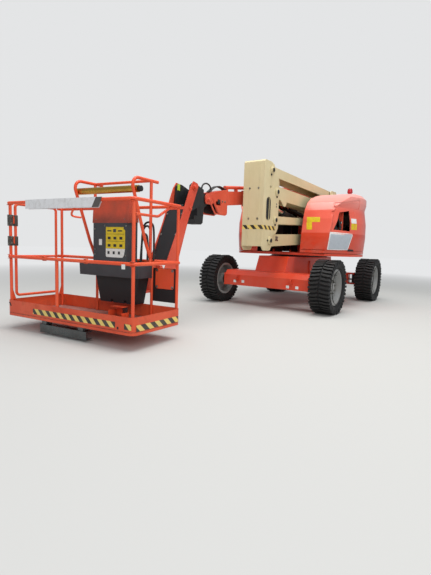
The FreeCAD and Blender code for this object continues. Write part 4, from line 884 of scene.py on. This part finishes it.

# Tower: pin caps, bolts, painted shade rings round the slots, hoses and stripes on the uprights, and
# fittings on the arms
SLOT_X = 1.900
STRIPE_LOW, STRIPE_HIGH = 1.258, 1.317
TOWER_CAP_R = 0.056
TOWER_CAP_REACH = 0.45
TOWER_KEEPERS = ((0.074, 0.0), (0.0, -0.074), (0.0, -0.074), (0.034, -0.070))
tower_pins = [(x, y, z, side, keeper) for (x, z), keeper in zip(TOWER_PINS, TOWER_KEEPERS)
              for y, side in ((TOWER_LEFT, 1), (TOWER_RIGHT, -1))]
caps = bmesh.new()
for x, y, z, side, keeper in tower_pins:
    pin_cap(caps, x, y, z, side, TOWER_CAP_R, keeper, TOWER_CAP_REACH)
piece(caps, "tower_pin_caps", "mid_upright", "tan")
pin_heads("tower_pin_heads", "mid_upright", tower_pins, TOWER_CAP_R, "steel", TOWER_CAP_REACH)
caps = bmesh.new()
for (x, z), keeper in zip(REAR_PINS, ((0, 0.052), (0.052, 0))):
    pin_cap(caps, x, TOWER_LEFT, z, 1, keeper=keeper)
piece(caps, "rear_pin_caps", "rear_upright", "tan")
caps = bmesh.new()
for y, side in ((-0.100, 1), (-0.400, -1)):
    pin_cap(caps, BOOM_PIVOT.x, y, BOOM_PIVOT.z, side, 0.042, (0.062, 0))
piece(caps, "boom_pin_caps", "rear_upright", "tan")
studs = bmesh.new()
for y, z in ((0.065, 1.848), (0.213, 1.848), (0.060, 1.409), (0.210, 1.409)):
    bolt(studs, (TOWER_FRONT, y, z), (1, 0, 0), 0.009, 0.007)
for x, z in ((1.641, 1.655), (1.641, 1.617)):
    bolt(studs, (x, TOWER_LEFT, z), (0, 1, 0), 0.008, 0.006)
piece(studs, "tower_bolts", "mid_upright", "bolt")
# Painted shade: black rings round the slots make their dark openings look wider than the modelled slots.
slot_shade = bmesh.new()
for y, side in ((TOWER_LEFT, 1), (TOWER_RIGHT, -1)):
    slot_shade_ring(slot_shade, SLOT_X, y, side * 0.002, (0.0385, 1.438, 1.690), (0.066, 1.461, 1.667))
piece(slot_shade, "tower_slot_shade_ring", "mid_upright", "plastic")
bent_tube("tower_slot_hoses", [
    [(x, TOWER_LEFT - 0.030, 1.340), (x, TOWER_LEFT - 0.029, 1.560), (x, TOWER_LEFT - 0.030, 1.790)]
    for x in (1.806, 1.831, 1.856, 1.881, 1.906, 1.931)], 0.0125, "mid_upright", "hose")
plates("tower_stripes", "mid_upright", "hazard",
       [face_x(TOWER_FRONT, TOWER_RIGHT + 0.006, TOWER_LEFT - 0.001, STRIPE_LOW, STRIPE_HIGH),
        face_y(TOWER_LEFT, 1.653, TOWER_FRONT - 0.001, STRIPE_LOW, STRIPE_HIGH)])
seams = bmesh.new()
for y in (0.052, 0.226):
    round_bar(seams, (TOWER_FRONT, y, 1.060), (TOWER_FRONT, y, 2.190), 0.0028, 10)
piece(seams, "tower_seams", "mid_upright", "tan")

ARM_STOP = (1.520, 1.140)
cluster = bmesh.new()
for dx, dz in ((-0.026, 0.016), (0.026, 0.022), (-0.022, -0.026), (0.028, -0.020)):
    bolt(cluster, (ARM_STOP[0] + dx, 0.267, ARM_STOP[1] + dz), (0, 1, 0), 0.012, 0.010)
round_bar(cluster, (ARM_STOP[0], 0.267, ARM_STOP[1]), (ARM_STOP[0], 0.279, ARM_STOP[1]), 0.016, 20,
          bevel=0.002)
piece(cluster, "arm_stop_bolts", "lower_tower_boom", "bolt")
LUG_PIN = (1.312, 1.685)
LUG_OUTLINE = ((1.475, 1.742), (1.400, 1.700), (1.345, 1.655), (1.290, 1.650), (1.255, 1.690),
               (1.228, 1.740))
lug = bmesh.new()
for y in (0.264, 0.020):
    slab(lug, [(x, y, z) for x, z in LUG_OUTLINE], 0.012)
round_bar(lug, (LUG_PIN[0], 0.022, LUG_PIN[1]), (LUG_PIN[0], 0.262, LUG_PIN[1]), 0.014, 20)
piece(lug, "arm_lug_plates", "upper_tower_boom", "tan")
lug_pin = bmesh.new()
bolt(lug_pin, (LUG_PIN[0], 0.264, LUG_PIN[1]), (0, 1, 0), 0.020, 0.008)
piece(lug_pin, "arm_lug_pin", "upper_tower_boom", "steel")

# Front beam: stickers
plates("beam_stickers", "chassis", "white",
       [face_x(1.380, y - 0.026, y + 0.026, z - 0.022, z + 0.022)
        for y, z in ((-0.560, 0.402), (-0.400, 0.406), (0.430, 0.382), (0.590, 0.381))], 0.001)

# Left hood: stickers, blank panel and latch (name, look, height off the hood, corners)
HOOD_SHEETS = (
    ("hood_sticker_wide", "yellow", 0.0012,
     ((0.772, 0.446, 1.446), (0.772, 0.673, 1.444), (0.753, 0.661, 1.527), (0.752, 0.433, 1.531))),
    ("hood_sticker_tall", "yellow", 0.0012,
     ((0.795, 0.456, 1.319), (0.795, 0.551, 1.320), (0.772, 0.534, 1.442), (0.772, 0.439, 1.442))),
    ("hood_panel_border", "white", 0.0010,
     ((0.803, 0.829, 0.992), (0.458, 1.059, 0.996), (0.374, 1.107, 1.269), (0.793, 0.859, 1.284))),
    ("hood_panel", "plate", 0.0018,
     ((0.789, 0.841, 1.002), (0.467, 1.054, 1.006), (0.392, 1.097, 1.258), (0.779, 0.868, 1.272))),
    ("hood_rear_sticker", "yellow", 0.0012,
     ((0.420, 1.150, 1.340), (0.280, 1.165, 1.340), (0.280, 1.160, 1.440), (0.420, 1.148, 1.440))),
    ("hood_rear_label", "white", 0.0012,
     ((0.420, 1.148, 1.446), (0.290, 1.160, 1.446), (0.290, 1.155, 1.525), (0.420, 1.145, 1.525))),
    ("hood_latch", "plastic", 0.006,
     ((0.462, 1.060, 0.975), (0.300, 1.112, 0.975), (0.330, 1.104, 1.006), (0.452, 1.063, 1.012))),
)
for name, look, lift, corners in HOOD_SHEETS:
    decal(name, "hood_left", corners, look, lift)

# Beacon: stacked discs on one axis (low, high, radius, radius at the top, bevel)
BEACON = (-0.600, 0.710)
BEACON_DISCS = {
    ("beacon_foot", "plastic"): ((1.986, 2.016, 0.056, 0.056, 0.004), (2.016, 2.022, 0.054, 0.054, 0.002)),
    ("beacon_dome", "lens"): ((2.084, 2.150, 0.051, 0.044, 0.006), (2.150, 2.168, 0.040, 0.030, 0.004)),
}
for (name, look), discs in BEACON_DISCS.items():
    stack = bmesh.new()
    for low, high, r, r_top, bevel in discs:
        round_bar(stack, (*BEACON, low), (*BEACON, high), r, 36, r_top, bevel)
    piece(stack, name, "hood_left", look)

# Lining of the hood's vent, sunk a little below the hood's cone
VENT_LOW, VENT_HIGH = (0.680, 1.697), (0.262, 1.804)
VENT_STEPS = 6
VENT_SUNK = 0.022
HOOD_R, HOOD_R_AT, HOOD_FLARE = 1.128, 1.690, 0.24
vent = []
for i in range(VENT_STEPS + 1):
    x = VENT_LOW[0] + (VENT_HIGH[0] - VENT_LOW[0]) * i / VENT_STEPS
    z = VENT_LOW[1] + (VENT_HIGH[1] - VENT_LOW[1]) * i / VENT_STEPS
    r = HOOD_R + (z - HOOD_R_AT) * HOOD_FLARE - VENT_SUNK
    vent.append((x, math.sqrt(r * r - x * x), z))
bent_tube("hood_vent_lining", [vent], 0.017, "hood_left", "hood")

# Behind the left hood's window
bent_tube("hood_hoses", [
    [(0.70, 0.86, 1.20), (0.70, 0.86, 1.36), (0.66, 0.84, 1.47), (0.58, 0.82, 1.60), (0.50, 0.80, 1.72)],
    [(0.66, 0.88, 1.20), (0.64, 0.90, 1.33), (0.60, 0.86, 1.42), (0.56, 0.86, 1.52), (0.50, 0.84, 1.64)],
    [(0.60, 0.92, 1.20), (0.60, 0.92, 1.30), (0.58, 0.88, 1.38), (0.66, 0.82, 1.44), (0.62, 0.80, 1.56),
     (0.54, 0.78, 1.62)],
    [(0.56, 0.95, 1.20), (0.56, 0.95, 1.34), (0.54, 0.92, 1.44), (0.52, 0.88, 1.56)]],
          0.014, "turntable", "hose")
bracket = bmesh.new()
cuboid(bracket, (0.440, 0.900, 0.926), (0.500, 0.906, 1.640), 0.002)
cuboid(bracket, (0.440, 0.906, 0.926), (0.446, 0.950, 1.640), 0.002)
cuboid(bracket, (0.440, 0.880, 0.9255), (0.520, 0.960, 0.934), 0.002)
piece(bracket, "hood_bracket", "turntable", "orange")
switches = bmesh.new()
cuboid(switches, (0.452, 0.906, 1.430), (0.488, 0.930, 1.470), 0.003)
cuboid(switches, (0.456, 0.906, 1.360), (0.490, 0.934, 1.400), 0.004)
piece(switches, "hood_switches", "turntable", "plastic")
plates("hood_switch_tag", "turntable", "white", [face_y(0.9305, 0.456, 0.484, 1.436, 1.464)], 0.001)

# Fly section's nose: welds, bolts and hoses
nose = bmesh.new()
for y, side in ((NOSE_LEFT, 1), (NOSE_RIGHT, -1)):
    pin_cap(nose, NOSE_PIVOT[0], y, NOSE_PIVOT[1], side, 0.032, (-0.05, -0.02))
piece(nose, "nose_pin_caps", "fly", "orange")
nose = bmesh.new()
for x, z in ((2.453, 1.622), (2.387, 1.624)):
    bolt(nose, (x, NOSE_LEFT, z), (0, 1, 0), 0.009, 0.006)
    bolt(nose, (x, NOSE_RIGHT, z), (0, -1, 0), 0.009, 0.006)
piece(nose, "nose_bolts", "fly", "bolt")
nose = bmesh.new()
for y in (NOSE_LEFT, NOSE_RIGHT):
    round_bar(nose, (2.700, y, 1.645), (2.510, y, 1.440), 0.004, 10)
    round_bar(nose, (2.332, y, 1.470), (2.332, y, 1.785), 0.004, 10)
piece(nose, "nose_welds", "fly", "orange")
bent_tube("nose_hoses", [
    [(2.235, y, 1.800), (2.330, y, 1.838), (2.450, y, 1.845), (2.560, y, 1.800), (2.610, y, 1.760),
     (2.650, y, 1.735)] for y in (BOOM_Y - 0.030, BOOM_Y - 0.005, BOOM_Y + 0.020)], 0.009, "fly", "hose")
ARCH_Y = BOOM_Y + 0.010
bent_tube("nose_arch", [
    [(2.605, ARCH_Y, 1.735), (2.610, ARCH_Y, 1.790), (2.650, ARCH_Y, 1.832), (2.718, ARCH_Y, 1.846),
     (2.790, ARCH_Y, 1.825), (2.825, ARCH_Y, 1.775), (2.826, ARCH_Y, 1.725)]], 0.011, "fly", "hose")
fittings = bmesh.new()
round_bar(fittings, (2.605, ARCH_Y, 1.722), (2.605, ARCH_Y, 1.745), 0.014, 6)
round_bar(fittings, (2.826, ARCH_Y, 1.735), (2.826, ARCH_Y, 1.712), 0.014, 6)
piece(fittings, "nose_fittings", "fly", "bolt")
hatch = bmesh.new()
cuboid(hatch, (2.515, NOSE_LEFT, 1.580), (2.575, NOSE_LEFT + 0.010, 1.640), 0.003)
round_bar(hatch, (2.545, NOSE_LEFT + 0.010, 1.610), (2.545, NOSE_LEFT + 0.016, 1.610), 0.018, 20,
          bevel=0.002)
piece(hatch, "nose_block", "fly", "plastic")
# Painted shade: a black sheet on the inner face of the far side plate, so the hollow of the nose reads
# dark.
hollow_shade_sheet = bmesh.new()
slab(hollow_shade_sheet, [(x, BOOM_Y - 0.0895, z) for x, z in
              ((2.350, 1.446), (2.612, 1.446), (2.704, 1.557), (2.704, 1.598), (2.350, 1.598))], 0.002)
piece(hollow_shade_sheet, "nose_shade_sheet", "fly", "plastic")

# Jib: pins, ring, cover bolts and tag
caps = bmesh.new()
for y, side in ((BOOM_Y + 0.150, 1), (BOOM_Y - 0.150, -1)):
    pin_cap(caps, JIB_PIVOT.x, y, JIB_PIVOT.z, side, 0.038)
    pin_cap(caps, JIB_END[0], y, JIB_END[1], side, 0.038)
piece(caps, "jib_pin_caps", "jib", "orange")
ring = bmesh.new()
round_bar(ring, (0.278, 0.150, -0.033), (0.278, 0.156, -0.033), 0.030, 28, bevel=0.002, place=JIB)
round_bar(ring, (0.278, 0.156, -0.033), (0.278, 0.160, -0.033), 0.014, 20, bevel=0.001, place=JIB)
piece(ring, "jib_boss", "jib", "orange")
rivets = bmesh.new()
for s in (0.400, 0.685, 0.970):
    for y in (-0.120, 0.120):
        bolt(rivets, (s, y, 0.058), (0, 0, 1), 0.008, 0.005, JIB)
piece(rivets, "jib_cover_bolts", "jib", "bolt")
plates("knuckle_tag", "jib_knuckle", "lime", [face_y(BOOM_Y - 0.105, 3.140, 3.190, 1.695, 1.775)], 0.001)
